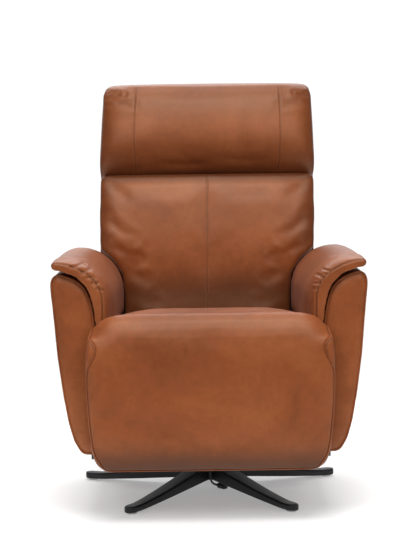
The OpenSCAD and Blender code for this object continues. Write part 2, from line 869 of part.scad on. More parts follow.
module seat_frame() {
    half = seat_frame_w / 2;
    color(ply_wood) difference() {
        block([-half, seat_front_y, seat_frame_z], [half, seat_rear_y, seat_frame_top]);
        block([-half + seat_rail_w, seat_front_y + seat_rail_w, seat_frame_z - over],
              [half - seat_rail_w, seat_rear_y - seat_rail_w, seat_frame_top + over]);
    }
}

// A flat zigzag wire from the origin along +Y
module zigzag(len, swing, turns) {
    step = len / turns;
    there = [for (i = [0:turns]) [(i % 2 == 0 ? -1 : 1) * swing, i * step]];
    linear_extrude(height = wire_t) polygon(concat(
        [for (p = there) p + [-wire_t / 2, 0]],
        [for (i = [turns:-1:0]) there[i] + [wire_t / 2, 0]]));
}

module seat_springs() {
    inset = seat_rail_w / 2;
    clear_w = seat_frame_w - 2 * seat_rail_w;
    pitch = clear_w / seat_springs_count;
    color(bright_steel) for (i = [0:seat_springs_count - 1])
        translate([-clear_w / 2 + pitch * (i + 0.5), seat_front_y + inset, seat_frame_top])
            zigzag(seat_rear_y - seat_front_y - 2 * inset, pitch * spring_swing_share, spring_turns);
}

// Stations along the seat from its rear: place, half width, underside and crown as shares, and how far
// the half width has gone from the seat's to the footrest's
seat_shares = [
    [0.000, 0.93, 0.04, 0.44, 0], [0.015, 0.97, 0.01, 0.52, 0], [0.050, 0.99, 0, 0.565, 0],
    [0.20, 1, 0, 0.60, 0], [0.40, 1, 0, 0.69, 0], [0.60, 1, 0, 0.80, 0], [0.76, 1, 0, 0.91, 0],
    [0.85, 1, 0.02, 0.97, 0], [0.895, 1, 0.28, 0.995, 0], [0.945, 1, 0.46, 1.00, 0],
    [0.975, 1, 0.56, 0.995, 0.15], [0.982, 1, 0.585, 0.995, 0.74], [1, 1, 0.645, 0.985, 0.80]];

module seat_cushion() {
    rise = seat_crest_z - seat_foam_z;
    run = seat_foam_rear_y - pole[0];
    color(tan_leather) skin([for (row = seat_shares)
        let (y = seat_foam_rear_y - run * row[0],
             half = (seat_w * row[1] + (chaise_w - seat_w) * row[4]) / 2)
        [for (p = loop(half, seat_foam_z + rise * row[2], seat_foam_z + rise * row[3], seat_curve_share))
            [p[0], y, p[1]]]]);
}

// The soft corner between seat and footrest, which folds as the footrest rises
bridge_shares = [
    [-1, 0.1], [-0.93, 0.36], [-0.78, 0.72], [-0.5, 0.95], [0, 1],
    [0.5, 0.95], [0.78, 0.72], [0.93, 0.36], [1, 0.1]];
bridge_steps = 6;
bridge_curve_share = 0.8;

module chaise_bridge() {
    low = pole + [-touch_gap, touch_gap];
    reach = pad_t - 2 * touch_gap;
    color(tan_leather) skin([for (row = bridge_shares) let (x = bridge_w / 2 * row[0], s = row[1])
        concat([[x, low[0], low[1]]], [for (i = [bridge_steps:-1:0]) let (a = 90 * i / bridge_steps)
            [x, low[0] - reach * (s + (1 - s) / 2) * pow(cos(a), bridge_curve_share),
             low[1] + reach * s * pow(sin(a), bridge_curve_share)]])]);
}

// ARMS, the outline seen from the front at +X as shares of width and height

arm_shares = [
    [0.02, 0], [0.36, 0], [0.42, 0.012], [0.54, 0.077], [0.64, 0.179], [0.73, 0.337], [0.825, 0.550],
    [0.90, 0.754], [0.962, 0.911], [0.992, 0.969], [0.975, 0.992], [0.87, 0.998], [0.66, 0.974],
    [0.48, 0.948], [0.36, 0.919], [0.30, 0.880], [0.25, 0.824], [0.20, 0.760], [0.15, 0.705],
    [0.07, 0.66], [0.02, 0.60]];
arm_outline = [for (s = arm_shares) [arm_in + arm_w * s[0], arm_z + arm_h * s[1]]];

// The pad's section: its crown first, then back along the top of the arm
pad_top_shares = [
    [0.96, 0.02], [0.985, 0.35], [0.95, 0.72], [0.84, 0.96], [0.66, 1], [0.46, 0.88], [0.27, 0.60],
    [0.06, 0.10], [-0.09, -0.55], [-0.15, -1.35], [-pad_bulge_share, -2.1], [-0.13, -2.8], [-0.03, -3.15]];
pad_top = [for (s = pad_top_shares) [arm_in + arm_w * s[0], arm_z + arm_h + pad_rise * s[1]]];
pad_under = [for (i = [18:-1:11]) arm_outline[i] + [-touch_gap, touch_gap]];
pad_section = concat(pad_top, pad_under);

module arm_slab(y0, y1, d) {
    translate([0, y1, 0]) rotate([90, 0, 0]) linear_extrude(height = y1 - y0)
        polygon(drawn_in(arm_outline, d));
}

module arm_bolt_holes(r) {
    for (p = arm_bolt_spots) pin(arm_in - over, arm_in + arm_bolt_grip + over, p, r);
}

// What the timber of an arm reaches: the height of its inner board, and the rail under its crown
inner_board_share = 0.45;
crown_rail_shares = [0.66, 0.88];

module arm_frame() {
    d = arm_wall + touch_gap;
    y0 = -arm_reach + arm_front_t + touch_gap;
    y1 = arm_rear_y - touch_gap;
    color(ply_wood) difference() {
        union() {
            arm_slab(y0, y0 + former_t, d);
            arm_slab(y1 - former_t, y1, d);
            intersection() {
                arm_slab(y0, y1, d);
                union() {
                    block([arm_in, y0, arm_z], [arm_in + arm_w, y1, arm_z + stringer_w]);
                    block([arm_in, y0, arm_z],
                          [arm_in + arm_wall + former_t, y1, arm_z + arm_h * inner_board_share]);
                    block([arm_in + arm_w * crown_rail_shares[0], y0, arm_z + arm_h * crown_rail_shares[1]],
                          [arm_in + arm_w, y1, arm_z + arm_h]);
                }
            }
        }
        arm_bolt_holes(bolt_r + bolt_slack);
    }
}

module arm_panel(is_left) {
    color(tan_leather) difference() {
        arm_slab(-arm_reach + arm_front_t, arm_rear_y, 0);
        arm_slab(-arm_reach + arm_front_t - over, arm_rear_y - touch_gap + over, arm_wall);
        arm_bolt_holes(bolt_r + bolt_slack);
        if (is_left) mirror([1, 0, 0]) control_spot() bezel_plug(bezel_lip + bolt_slack);
    }
}

module arm_front() {
    step_y = -arm_reach + arm_front_t / 3;
    draw_in = 3;
    color(tan_leather) {
        arm_slab(step_y, -arm_reach + arm_front_t - seam_gap, 0);
        arm_slab(-arm_reach, step_y + weld, draw_in);
    }
}

// Stations along the pad from its rear: place and how far the section is drawn in
arm_pad_rows = [
    [0, 6], [0.015, 2.5], [0.06, 0.5], [0.3, 0.3], [0.7, 0], [0.955, 0], [0.98, 1.5], [0.994, 4.5], [1, 8]];

module arm_pad() {
    run = arm_len + arm_pad_proud;
    color(tan_leather) skin([for (row = arm_pad_rows)
        [for (p = drawn_in(pad_section, row[1])) [p[0], arm_rear_y - run * row[0], p[1]]]]);
}

module arm_caps() {
    inset = 8;
    low_share = arm_shares[0][0];
    high_share = 0.26;
    color(dark_plastic) both_sides()
        block([arm_in + arm_w * low_share, -arm_reach + inset, arm_z - arm_cap_h],
              [arm_in + arm_w * high_share, arm_rear_y - inset, arm_z]);
}

module arm_bolts() {
    color(bright_steel) both_sides() for (p = arm_bolt_spots) {
        pin(plate_in - bolt_head_t, plate_in, p, bolt_head_r);
        pin(plate_in - weld, arm_in + arm_bolt_grip, p, bolt_r);
        difference() {
            pin(frame_half, arm_in + arm_w * arm_shares[0][0], p, spacer_r);
            pin(frame_half - over, arm_in + over, p, bolt_r - weld);
        }
    }
}

// CONTROLS: drawn with +Z out of the arm's side, +Y along the chair and +X up

control_low = arm_outline[6];
control_high = arm_outline[7];
control_at = control_low + panel_share * (control_high - control_low);
control_tilt = atan2(control_high[0] - control_low[0], control_high[1] - control_low[1]);

module control_spot() {
    translate([-control_at[0], panel_y, control_at[1]]) rotate([0, -90 - control_tilt, 0]) children();
}

module stadium(len, w, z0, z1) {
    translate([0, 0, z0]) linear_extrude(height = z1 - z0)
        bar([0, -(len - w) / 2], [0, (len - w) / 2], w / 2);
}

module bezel_plug(lip) {
    stadium(bezel_len - 2 * lip, bezel_w - 2 * lip, -arm_wall - over, over);
}

module each_button_place() {
    for (i = [0:3]) translate([0, (i - 1.5) * button_pitch, 0]) children();
}

module control_bezel() {
    color(dark_plastic) control_spot() difference() {
        union() {
            stadium(bezel_len, bezel_w, bezel_seat, bezel_proud);
            stadium(bezel_len - 2 * (bezel_lip + bezel_fit), bezel_w - 2 * (bezel_lip + bezel_fit), -arm_wall,
                bezel_proud / 2);
        }
        each_button_place() translate([0, 0, -arm_wall - over])
            cylinder(r = button_r + button_gap, h = arm_wall + bezel_proud + 2 * over);
    }
}

module control_board() {
    color(board_green) control_spot()
        stadium(bezel_len - 2 * bezel_lip, bezel_w - 2 * bezel_lip, -arm_wall - touch_gap - circuit_t,
            -arm_wall - touch_gap);
}

module button(i) {
    foot = -arm_wall + button_travel + board_gap;
    place = (i - 1.5) * button_pitch;
    color(dark_plastic) control_spot() translate([0, place, foot]) rotate_extrude() polygon([
        [0, 0], [button_r, 0], [button_r, button_proud - foot - button_round],
        [button_r - button_round, button_proud - foot], [button_r * button_dish_share, button_proud - foot],
        [0, button_proud - foot - button_dish]]);
}

// BACK, drawn in its leaning frame

module leaning() {
    translate([0, hinge_y, hinge_z]) rotate([-back_lean, 0, 0]) children();
}

// The frame's own parts: the round hinge ears, the uprights, a top rail and a lumbar rail
lumbar_rail_z = 90;
lumbar_rail_h = 21;
upright_foot_z = 118;

module back_frame() {
    half = plate_in - layer_gap - link_t;
    inner = half - upright_w;
    rail_y = top_rail_y + top_rail_d / 2;
    pin_half = lever_t / 2 + yoke_t + pin_end;
    color(steel_grey) difference() {
        union() {
            leaning() {
                both_sides() {
                    block([inner, upright_y, 0], [half + weld, upright_y + upright_d, back_len - rail_h / 2]);
                    side_sheet(half, link_t) bar([0, 0], [upright_y + upright_d / 2, upright_foot_z], eye_r);
                    side_sheet(head_ear_x, link_t) bar(head_axis, [rail_y, back_len - rail_h / 2], head_ear_r);
                }
                block([-inner - weld, top_rail_y, back_len - rail_h],
                      [inner + weld, top_rail_y + top_rail_d, back_len]);
                block([-inner - weld, top_rail_y, lumbar_rail_z],
                      [inner + weld, top_rail_y + top_rail_d, lumbar_rail_z + lumbar_rail_h]);
            }
            pin(-half - weld, half + weld, [hinge_y, hinge_z], hinge_tube_r);
            side_sheet(lever_x - lever_t / 2, lever_t) bar([hinge_y, hinge_z], lever_rest, lever_r);
            pin(lever_x - pin_half, lever_x + pin_half, lever_rest, lever_pin_r);
        }
        pin(-frame_half, frame_half, [hinge_y, hinge_z], hinge_r + run_gap);
        leaning() both_sides()
            pin(head_ear_x - over, head_ear_x + link_t + over, head_axis, head_pin_r + run_gap);
    }
}

module back_springs() {
    half = plate_in - layer_gap - link_t - upright_w;
    color(bright_steel) leaning() for (i = [0:back_springs_count - 1])
        translate([-half - upright_w / 2, upright_y,
                   back_len * (back_spring_shares[0] + back_spring_shares[1] * i / (back_springs_count - 1))])
            rotate([90, 0, 0]) rotate(-90) zigzag(2 * half + upright_w, back_spring_swing, back_spring_turns);
}

// Stations up the back cushion: place, half width as a share of the full width, and front
back_shares = [
    [0.02, 0.64, 0.62], [0.035, 0.68, 0.80], [0.08, 0.70, 0.93], [0.20, 0.712, 1.0], [0.35, 0.716, 1.03],
    [0.50, 0.716, 1.03], [0.69, 0.72, 1.02], [0.71, 0.80, 1.01], [0.75, 0.975, 1.0],
    [0.79, 1, 1], [0.90, 1, 0.97], [0.96, 0.99, 0.88], [0.985, 0.975, 0.74], [1, 0.95, 0.5]];

module back_cushion() {
    color(tan_leather) leaning() skin([for (row = back_shares)
        [for (p = loop(back_half * row[1], -pad_rear - back_pad_t * row[2], -pad_rear, cushion_curve_share))
            [p[0], p[1], back_len * row[0]]]]);
}

// The rear shell's side outline: rear face, then the wings behind the arms, then the slot for the cushion
shell_front = -pad_rear + shell_gap;
wing_front = shell_front - 0.55 * back_pad_t;
wing_top = 0.685 * back_len;
wing_round_share = 0.97;
wing_low_share = 0.8;
shell_foot = 0.035 * back_len;
shell_heel = 0.10 * back_len;
shell_toe = 0.06 * back_len;
shell_outline = [
    [rear_face * 0.6, shell_foot], [rear_face, shell_heel], [rear_face, back_len * 0.985],
    [rear_face * 0.8, back_len], [shell_front, back_len], [shell_front, wing_top],
    [wing_front, wing_top * wing_round_share], [wing_front, wing_top * wing_low_share],
    [shell_front * 0.76, shell_toe], [shell_front * 0.5, shell_foot]];

shell_hollow = [
    [rear_face * 0.6, shell_foot + shell_wall], [rear_face - shell_wall, shell_heel + shell_wall],
    [rear_face - shell_wall, back_len + over], [shell_front - over, back_len + over],
    [shell_front - over, wing_top + touch_gap], [shell_front, wing_top - shell_wall],
    [wing_front + shell_wall, wing_top * wing_round_share - shell_wall],
    [wing_front + shell_wall, wing_top * wing_low_share],
    [shell_front * 0.76 + shell_wall, shell_toe + shell_wall],
    [shell_front * 0.5 + shell_wall, shell_foot + shell_wall]];

module back_shell() {
    slot_half = lumbar_w / 2 + shell_gap;
    ear_clear = upright_foot_z + 2 * eye_r;
    color(tan_leather) leaning() difference() {
        side_sheet(-back_half, back_w) polygon(shell_outline);
        side_sheet(-back_half + shell_wall, back_w - 2 * shell_wall) polygon(shell_hollow);
        block([-slot_half, -pad_front, -over], [slot_half, shell_front + shell_wall + over, wing_top + over]);
        block([-frame_half - over, -pad_front, -over], [frame_half + over, hinge_tube_r + link_t, ear_clear]);
    }
}

module headrest_actuator() {
    mouth = back_len - rail_h - head_mouth_drop;
    color(dark_plastic) leaning() translate([0, head_pin_rest[0], mouth])
        drive_body(head_sleeve_len, head_rod_r, head_sleeve_r, head_gear_w, head_gear_len, 1);
}

module headrest_drive_rod() {
    head_rod_len = head_pin_rest[1] - back_len + rail_h + head_mouth_drop + head_sleeve_len * head_sleeve_share;
    color(bright_steel) leaning() translate([0, head_pin_rest[0], head_pin_rest[1]])
        drive_rod(head_rod_len, head_rod_r, head_pin_r, back_slack, head_sag, lever_t / 2 + touch_gap,
            head_yoke_t, head_yoke_wall, head_neck);
}

// HEADREST

ply_y = -head_pad_front + head_pad_t + touch_gap;
head_top = head_low + head_len;
head_elbow = [ply_y + head_ply_t / 2, head_axis[1]];
head_root = [head_elbow[0], head_low + 3 * head_ply_t];

module headrest_frame() {
    inset = 45;
    ear_in = head_ear_x - layer_gap - link_t;
    ear_out = head_ear_x + link_t + layer_gap;
    pin_half = lever_t / 2 + head_yoke_t + pin_end;
    color(steel_grey) leaning() {
        block([-back_half + inset, ply_y, head_low + head_ply_t],
              [back_half - inset, ply_y + head_ply_t, head_top - inset]);
        both_sides() {
            side_sheet(ear_in, link_t) {
                bar(head_axis, head_elbow, head_ear_r);
                bar(head_elbow, head_root, head_ply_t / 2);
            }
            pin(ear_in, ear_out + weld, head_axis, head_pin_r);
            pin(ear_out, ear_out + rivet_head_t, head_axis, rivet_head_r);
        }
        side_sheet(-lever_t / 2, lever_t) {
            bar(head_pin_rest, head_elbow, head_lever_r);
            bar(head_elbow, head_root, head_lever_r);
        }
        pin(-pin_half, pin_half, head_pin_rest, head_pin_r);
    }
}

// Stations up the headrest: place, half width, front as shares
head_shares = [
    [0, 0.93, 0.62], [0.02, 0.965, 0.80], [0.08, 0.99, 0.95], [0.25, 1, 1.06], [0.5, 0.995, 1.10],
    [0.75, 0.985, 1.04],
    [0.88, 0.975, 0.96], [0.95, 0.955, 0.85], [0.985, 0.92, 0.66], [1, 0.88, 0.42]];

module headrest_cushion() {
    rear = -head_pad_front + head_pad_t;
    color(tan_leather) leaning() skin([for (row = head_shares)
        [for (p = loop(back_half * row[1], rear - head_pad_t * row[2], rear, cushion_curve_share))
            [p[0], p[1], head_low + head_len * row[0]]]]);
}

module headrest_shell() {
    front = ply_y + head_ply_t + touch_gap;
    deep = rear_face - front;
    color(tan_leather) leaning() skin([for (row = head_shares)
        [for (p = loop(back_half * row[1], front, front + deep * min(1, row[2]), cushion_curve_share))
            [p[0], p[1], head_low + head_len * row[0]]]]);
}

module mirrored_left() {
    mirror([1, 0, 0]) children();
}

star_base();
foot_glides();
swivel_spindle();
lower_race();
ball_cage();
bearing_balls();
spindle_nut();
column_shroud();
cable_gland();
power_lead();
dc_connector();
upper_race();
swivel_plate();
plate_bolts();
cross_frame();
side_plates();
pivot_bolts();
seat_frame();
seat_springs();
seat_cushion();
chaise_bridge();
footrest_actuator();
back_actuator();
control_box();
inner_lead();
mirrored_left() arm_frame();  // arm_frame_left
arm_frame();  // arm_frame_right
mirrored_left() arm_panel(true);  // arm_panel_left
arm_panel(false);  // arm_panel_right
mirrored_left() arm_front();  // arm_front_left
arm_front();  // arm_front_right
mirrored_left() arm_pad();  // arm_pad_left
arm_pad();  // arm_pad_right
arm_caps();
arm_bolts();
control_bezel();
control_board();
front_cranks();
rear_cranks();
upper_links();
lower_links();
footrest_board();
footrest_pad();
footrest_brackets();
footrest_drive_rod();
back_drive_rod();
headrest_drive_rod();
back_frame();
back_springs();
back_cushion();
back_shell();
headrest_actuator();
headrest_frame();
headrest_cushion();
headrest_shell();
button(0);  // button_footrest
button(1);  // button_recline
button(2);  // button_headrest
button(3);  // button_home
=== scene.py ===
# Looks of the star base swivel recliner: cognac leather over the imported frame, metres, front at -Y.
import math

import bmesh
import bpy
import numpy as np
from mathutils import Matrix, Vector
from mathutils.bvhtree import BVHTree


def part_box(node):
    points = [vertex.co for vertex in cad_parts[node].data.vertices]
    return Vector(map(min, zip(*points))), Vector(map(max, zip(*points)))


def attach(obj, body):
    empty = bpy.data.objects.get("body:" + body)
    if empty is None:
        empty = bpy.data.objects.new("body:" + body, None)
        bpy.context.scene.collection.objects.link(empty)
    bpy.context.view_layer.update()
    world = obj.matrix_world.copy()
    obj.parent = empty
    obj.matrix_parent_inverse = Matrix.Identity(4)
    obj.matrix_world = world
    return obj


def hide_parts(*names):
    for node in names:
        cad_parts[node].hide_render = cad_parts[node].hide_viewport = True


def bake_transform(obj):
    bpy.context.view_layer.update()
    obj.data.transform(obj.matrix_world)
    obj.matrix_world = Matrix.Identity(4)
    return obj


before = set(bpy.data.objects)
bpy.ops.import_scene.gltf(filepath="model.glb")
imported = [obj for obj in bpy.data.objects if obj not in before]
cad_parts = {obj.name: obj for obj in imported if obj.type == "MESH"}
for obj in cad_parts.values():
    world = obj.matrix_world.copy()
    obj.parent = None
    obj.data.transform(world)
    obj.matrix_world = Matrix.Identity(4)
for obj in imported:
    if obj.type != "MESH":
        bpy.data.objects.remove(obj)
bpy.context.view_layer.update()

MM = 0.001

# Camera, solved from the feet of the base and the chair's outline
# Place in metres, then yaw, pitch and roll in degrees
CAMERA_PLACE = (-0.0303, -3.5999, 0.8689)
CAMERA_TURNS = (-0.5743, 90 - 5.2764, -0.7145)
CAMERA_LENS = 90.993
SENSOR = 36

# The frame's own places that the leather follows
SEAT_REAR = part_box("seat_cushion")[1][1]
FOOT_LOW, FOOT_HIGH = (np.array(c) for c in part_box("footrest_pad"))
PAD_LOW, PAD_HIGH = (np.array(c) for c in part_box("arm_pad_right"))
PANEL_LOW, PANEL_HIGH = (np.array(c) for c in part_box("arm_panel_right"))
FRONT_LOW, FRONT_HIGH = (np.array(c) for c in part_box("arm_front_right"))
POLE_Y = FOOT_HIGH[1]
POLE_Z = FOOT_HIGH[2] + 0.5 * MM
SKIN_T = FOOT_HIGH[1] - FOOT_LOW[1]
HINGE = np.array([0, 0.235, 0.345])
LEAN = math.radians(14)
BACK_LEN = 0.415
BACK_HALF = 0.288


def show(name, data):
    piece = bpy.data.objects.new(name, data)
    bpy.context.collection.objects.link(piece)
    return piece


# Camera

def make_camera():
    data = bpy.data.cameras.new("photo_camera")
    data.sensor_fit = "AUTO"
    data.sensor_width = SENSOR
    data.lens = CAMERA_LENS
    camera = show("photo_camera", data)
    yaw, pitch, roll = (math.radians(a) for a in CAMERA_TURNS)
    turn = Matrix.Rotation(yaw, 4, "Z") @ Matrix.Rotation(pitch, 4, "X") @ Matrix.Rotation(roll, 4, "Z")
    camera.matrix_world = Matrix.Translation(CAMERA_PLACE) @ turn
    bpy.context.scene.camera = camera


make_camera()


# Materials

def set_inputs(node, values):
    for name, value in values.items():
        node.inputs[name].default_value = value


class Finish:
    """A procedural material: one Principled shader, and short ways to feed it."""

    def __init__(self, name):
        self.material = bpy.data.materials.new(name)
        self.material.use_nodes = True
        self.nodes, self.links = self.material.node_tree.nodes, self.material.node_tree.links
        self.nodes.clear()
        out = self.nodes.new("ShaderNodeOutputMaterial")
        self.shader = self.nodes.new("ShaderNodeBsdfPrincipled")
        self.links.new(self.shader.outputs[0], out.inputs[0])

    def add(self, kind, inputs=None, vector=None, **settings):
        node = self.nodes.new(kind)
        for key, value in settings.items():
            setattr(node, key, value)
        set_inputs(node, inputs or {})
        if vector is not None:
            self.links.new(vector, node.inputs["Vector"])
        return node

    def feed(self, socket, source):
        self.links.new(source, self.shader.inputs[socket])

    def where(self, scale=(1, 1, 1)):
        place = self.add("ShaderNodeTexCoord").outputs["Object"]
        return self.add("ShaderNodeMapping", {"Scale": scale}, place).outputs["Vector"]

    def noise(self, where, scale, detail=4.0, rough=0.55, distortion=0.0):
        values = {"Scale": scale, "Detail": detail, "Roughness": rough, "Distortion": distortion}
        return self.add("ShaderNodeTexNoise", values, where).outputs["Fac"]

    def ramp(self, source, *stops):
        node = self.add("ShaderNodeValToRGB")
        for i, (place, colour) in enumerate(stops):
            stop = node.color_ramp.elements[i] if i < 2 else node.color_ramp.elements.new(place)
            stop.position = place
            stop.color = (*colour, 1)
        self.links.new(source, node.inputs["Fac"])
        return node.outputs["Color"]

    def mix(self, mode, amount, a, b):
        """Colours mixed by a fixed amount or by the value of a named attribute."""
        node = self.add("ShaderNodeMix", data_type="RGBA", blend_type=mode)
        if isinstance(amount, str):
            share = self.add("ShaderNodeAttribute", attribute_name=amount)
            self.links.new(share.outputs["Fac"], node.inputs["Factor"])
        else:
            node.inputs["Factor"].default_value = amount
        for socket, value in (("A", a), ("B", b)):
            target = [s for s in node.inputs if s.name == socket and s.type == "RGBA"][0]
            if isinstance(value, tuple):
                target.default_value = (*value, 1)
            else:
                self.links.new(value, target)
        return [s for s in node.outputs if s.type == "RGBA"][0]

    def bump(self, height, strength, distance, normal=None):
        node = self.add("ShaderNodeBump", {"Strength": strength, "Distance": distance})
        self.links.new(height, node.inputs["Height"])
        if normal is not None:
            self.links.new(normal, node.inputs["Normal"])
        return node.outputs["Normal"]

    def roughness(self, source, low, high):
        node = self.add("ShaderNodeMapRange", {"To Min": low, "To Max": high})
        self.links.new(source, node.inputs["Value"])
        self.feed("Roughness", node.outputs[0])


def grey(value):
    return (value, value, value)


LEATHER_DARK = (0.175, 0.043, 0.012)
LEATHER_MID = (0.245, 0.064, 0.018)
LEATHER_LIGHT = (0.310, 0.090, 0.028)
LEATHER_GLEAM = (1.0, 0.74, 0.52)
# Painted shade for seams, folds and pleats:
LEATHER_CREASE_SHADE = (0.050, 0.012, 0.003)
# Painted shade for the cushions' lower parts, sides and the band under the headrest; in places it also
# stands for burnished edges:
LEATHER_SHADE_AND_BURNISH = (0.050, 0.012, 0.003)


def make_leather(name, tone=1.0):
    it = Finish(name)
    where = it.where()
    clouds = it.noise(where, 5.0, 5.0, 0.6, 0.6)
    fine = it.noise(where, 60.0, 4.0, 0.6)
    pores = it.noise(where, 700.0, 2.0)
    dark, mid, light = (tuple(c * tone for c in colour)
                        for colour in (LEATHER_DARK, LEATHER_MID, LEATHER_LIGHT))
    colour = it.ramp(clouds, (0.30, dark), (0.52, mid), (0.74, light))
    mottle = it.ramp(fine, (0.35, (0.80, 0.78, 0.76)), (0.65, grey(1)))
    colour = it.mix("MULTIPLY", 0.55, colour, mottle)
    speck = it.ramp(pores, (0.30, (0.72, 0.70, 0.68)), (0.48, grey(1)))
    colour = it.mix("MULTIPLY", 0.30, colour, speck)
    # Painted shade, mixed in by a value painted per point; in places it also stands for burnished edges.
    colour = it.mix("MIX", "shade_and_burnish", colour, LEATHER_SHADE_AND_BURNISH)
    # Painted shade in seams, folds and pleats, mixed in by a value painted per point.
    colour = it.mix("MIX", "crease", colour, LEATHER_CREASE_SHADE)
    it.feed("Base Color", colour)
    it.roughness(fine, 0.34, 0.47)
    grain = it.add("ShaderNodeTexVoronoi", {"Scale": 520.0}, where, feature="DISTANCE_TO_EDGE")
    pebble = it.ramp(grain.outputs["Distance"], (0.0, grey(0)), (0.22, grey(1)))
    folds = it.noise(where, 38.0, 6.0, 0.6, 1.2)
    it.feed("Normal", it.bump(pebble, 0.28, 0.25 * MM, it.bump(folds, 0.22, 1.2 * MM)))
    set_inputs(it.shader, {"Specular IOR Level": 0.36, "Specular Tint": (*LEATHER_GLEAM, 1),
                           "Sheen Weight": 0.03, "Sheen Roughness": 0.5,
                           "Coat Weight": 0.09, "Coat Roughness": 0.36})
    return it.material


def make_metal(name, low, high, rough, metallic, grain=(40, 40, 900)):
    it = Finish(name)
    lines = it.noise(it.where(grain), 1.0, 3.0)
    tone = it.ramp(it.noise(it.where(), 14.0, 4.0), (0.3, low), (0.7, high))
    streak = it.ramp(lines, (0.3, grey(0.86)), (0.7, grey(1)))
    it.feed("Base Color", it.mix("MULTIPLY", 0.6, tone, streak))
    it.roughness(lines, rough - 0.05, rough + 0.08)
    it.feed("Normal", it.bump(lines, 0.2, 0.05 * MM))
    it.shader.inputs["Metallic"].default_value = metallic
    return it.material


def make_plastic(name, low, high, rough, coarse=900.0, height=0.06 * MM):
    it = Finish(name)
    where = it.where()
    it.feed("Base Color", it.ramp(it.noise(where, 9.0, 4.0), (0.3, low), (0.7, high)))
    texture = it.noise(where, coarse, 3.0)
    it.roughness(texture, rough - 0.06, rough + 0.06)
    it.feed("Normal", it.bump(texture, 0.35, height))
    return it.material


def make_plywood(name):
    it = Finish(name)
    rings = it.add("ShaderNodeTexWave", {"Scale": 22.0, "Distortion": 7.0, "Detail": 3.0},
                   it.where((1, 0.12, 1)))
    light = it.ramp(rings.outputs["Fac"], (0.2, (0.52, 0.34, 0.17)), (0.8, (0.68, 0.49, 0.28)))
    fibres = it.noise(it.where((300, 20, 300)), 1.0, 3.0)
    tone = it.ramp(fibres, (0.3, (0.85, 0.83, 0.8)), (0.7, grey(1)))
    it.feed("Base Color", it.mix("MULTIPLY", 0.7, light, tone))
    it.feed("Normal", it.bump(fibres, 0.3, 0.1 * MM))
    it.shader.inputs["Roughness"].default_value = 0.62
    return it.material


leather = make_leather("cognac_leather")
welt_leather = make_leather("welt_leather", 0.92)
thread = make_plastic("thread", (0.20, 0.060, 0.018), (0.30, 0.105, 0.035), 0.62, 2200.0, 0.1 * MM)
black_coat = make_metal("black_coat", (0.010, 0.010, 0.011), (0.016, 0.016, 0.018), 0.42, 0.25, grey(500))
bright_steel = make_metal("bright_steel", (0.52, 0.53, 0.55), (0.66, 0.67, 0.69), 0.28, 1.0)
zinc_steel = make_metal("zinc_steel", (0.30, 0.31, 0.33), (0.44, 0.45, 0.47), 0.40, 1.0)
spring_wire = make_metal("spring_wire", (0.26, 0.26, 0.28), (0.36, 0.36, 0.38), 0.35, 1.0, grey(300))
black_plastic = make_plastic("black_plastic", (0.018, 0.018, 0.020), (0.030, 0.030, 0.033), 0.52)
button_plastic = make_plastic("button_plastic", (0.07, 0.07, 0.075), (0.11, 0.11, 0.115), 0.33, 1600.0)
glide_plastic = make_plastic("glide_plastic", (0.50, 0.50, 0.48), (0.62, 0.62, 0.60), 0.25, 400.0)
lead_rubber = make_plastic("lead_rubber", grey(0.012), grey(0.022), 0.55, 1500.0)
board_green = make_plastic("board_green", (0.02, 0.12, 0.05), (0.04, 0.19, 0.08), 0.40, 1200.0)
plywood = make_plywood("birch_plywood")
# Cloth lining on the arm frames and footrest board; its dark colour also stands for the shadow in the gaps
# where they show.
shade_lining = make_plastic("shadow_gap_lining", (0.030, 0.014, 0.008), (0.045, 0.021, 0.012), 0.85, 1800.0, 0.12 * MM)

NODE_MATERIALS = {
    black_coat: ["star_base"],
    glide_plastic: ["foot_glides"],
    bright_steel: ["swivel_spindle", "lower_race", "upper_race", "bearing_balls", "plate_bolts",
                   "pivot_bolts", "arm_bolts", "front_cranks", "rear_cranks", "footrest_drive_rod",
                   "back_drive_rod", "headrest_drive_rod"],
    zinc_steel: ["spindle_nut", "swivel_plate", "cross_frame", "side_plates", "upper_links", "lower_links",
                 "footrest_brackets", "back_frame", "headrest_frame"],
    spring_wire: ["seat_springs", "back_springs"],
    black_plastic: ["ball_cage", "column_shroud", "cable_gland", "footrest_actuator", "back_actuator",
                    "headrest_actuator", "control_box", "arm_caps", "control_bezel"],
    button_plastic: ["button_footrest", "button_recline", "button_headrest", "button_home"],
    lead_rubber: ["power_lead", "dc_connector", "inner_lead"],
    board_green: ["control_board"],
    plywood: ["seat_frame"],
    shade_lining: ["arm_frame_left", "arm_frame_right", "footrest_board"],
    leather: ["seat_cushion", "chaise_bridge", "footrest_pad", "arm_panel_left", "arm_panel_right",
              "arm_front_left", "arm_front_right", "arm_pad_left", "arm_pad_right", "back_cushion",
              "back_shell", "headrest_cushion", "headrest_shell"],
}


def dress_frame():
    for material, names in NODE_MATERIALS.items():
        for node in (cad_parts[name] for name in names):
            if not node.data.materials:
                node.data.materials.append(material)
            for slot in node.material_slots:
                slot.material = material


dress_frame()


# Mesh helpers

def put(name, verts, faces, material, smooth=True):
    data = bpy.data.meshes.new(name)
    data.from_pydata([tuple(v) for v in verts], [], faces)
    data.update()
    data.materials.append(material)
    for polygon in data.polygons:
        polygon.use_smooth = smooth
    return show(name, data)


def coords(piece):
    co = np.empty(len(piece.data.vertices) * 3)
    piece.data.vertices.foreach_get("co", co)
    return co.reshape(-1, 3)


def set_coords(piece, co):
    piece.data.vertices.foreach_set("co", np.asarray(co, float).ravel())
    piece.data.update()


def normals(piece):
    no = np.empty(len(piece.data.vertices) * 3, np.float32)
    piece.data.vertex_normals.foreach_get("vector", no)
    return no.reshape(-1, 3).astype(float)


def unit(v):
    return v / np.maximum(np.linalg.norm(v, axis=-1, keepdims=True), 1e-12)


def bell(x):
    return np.exp(-(x ** 2))


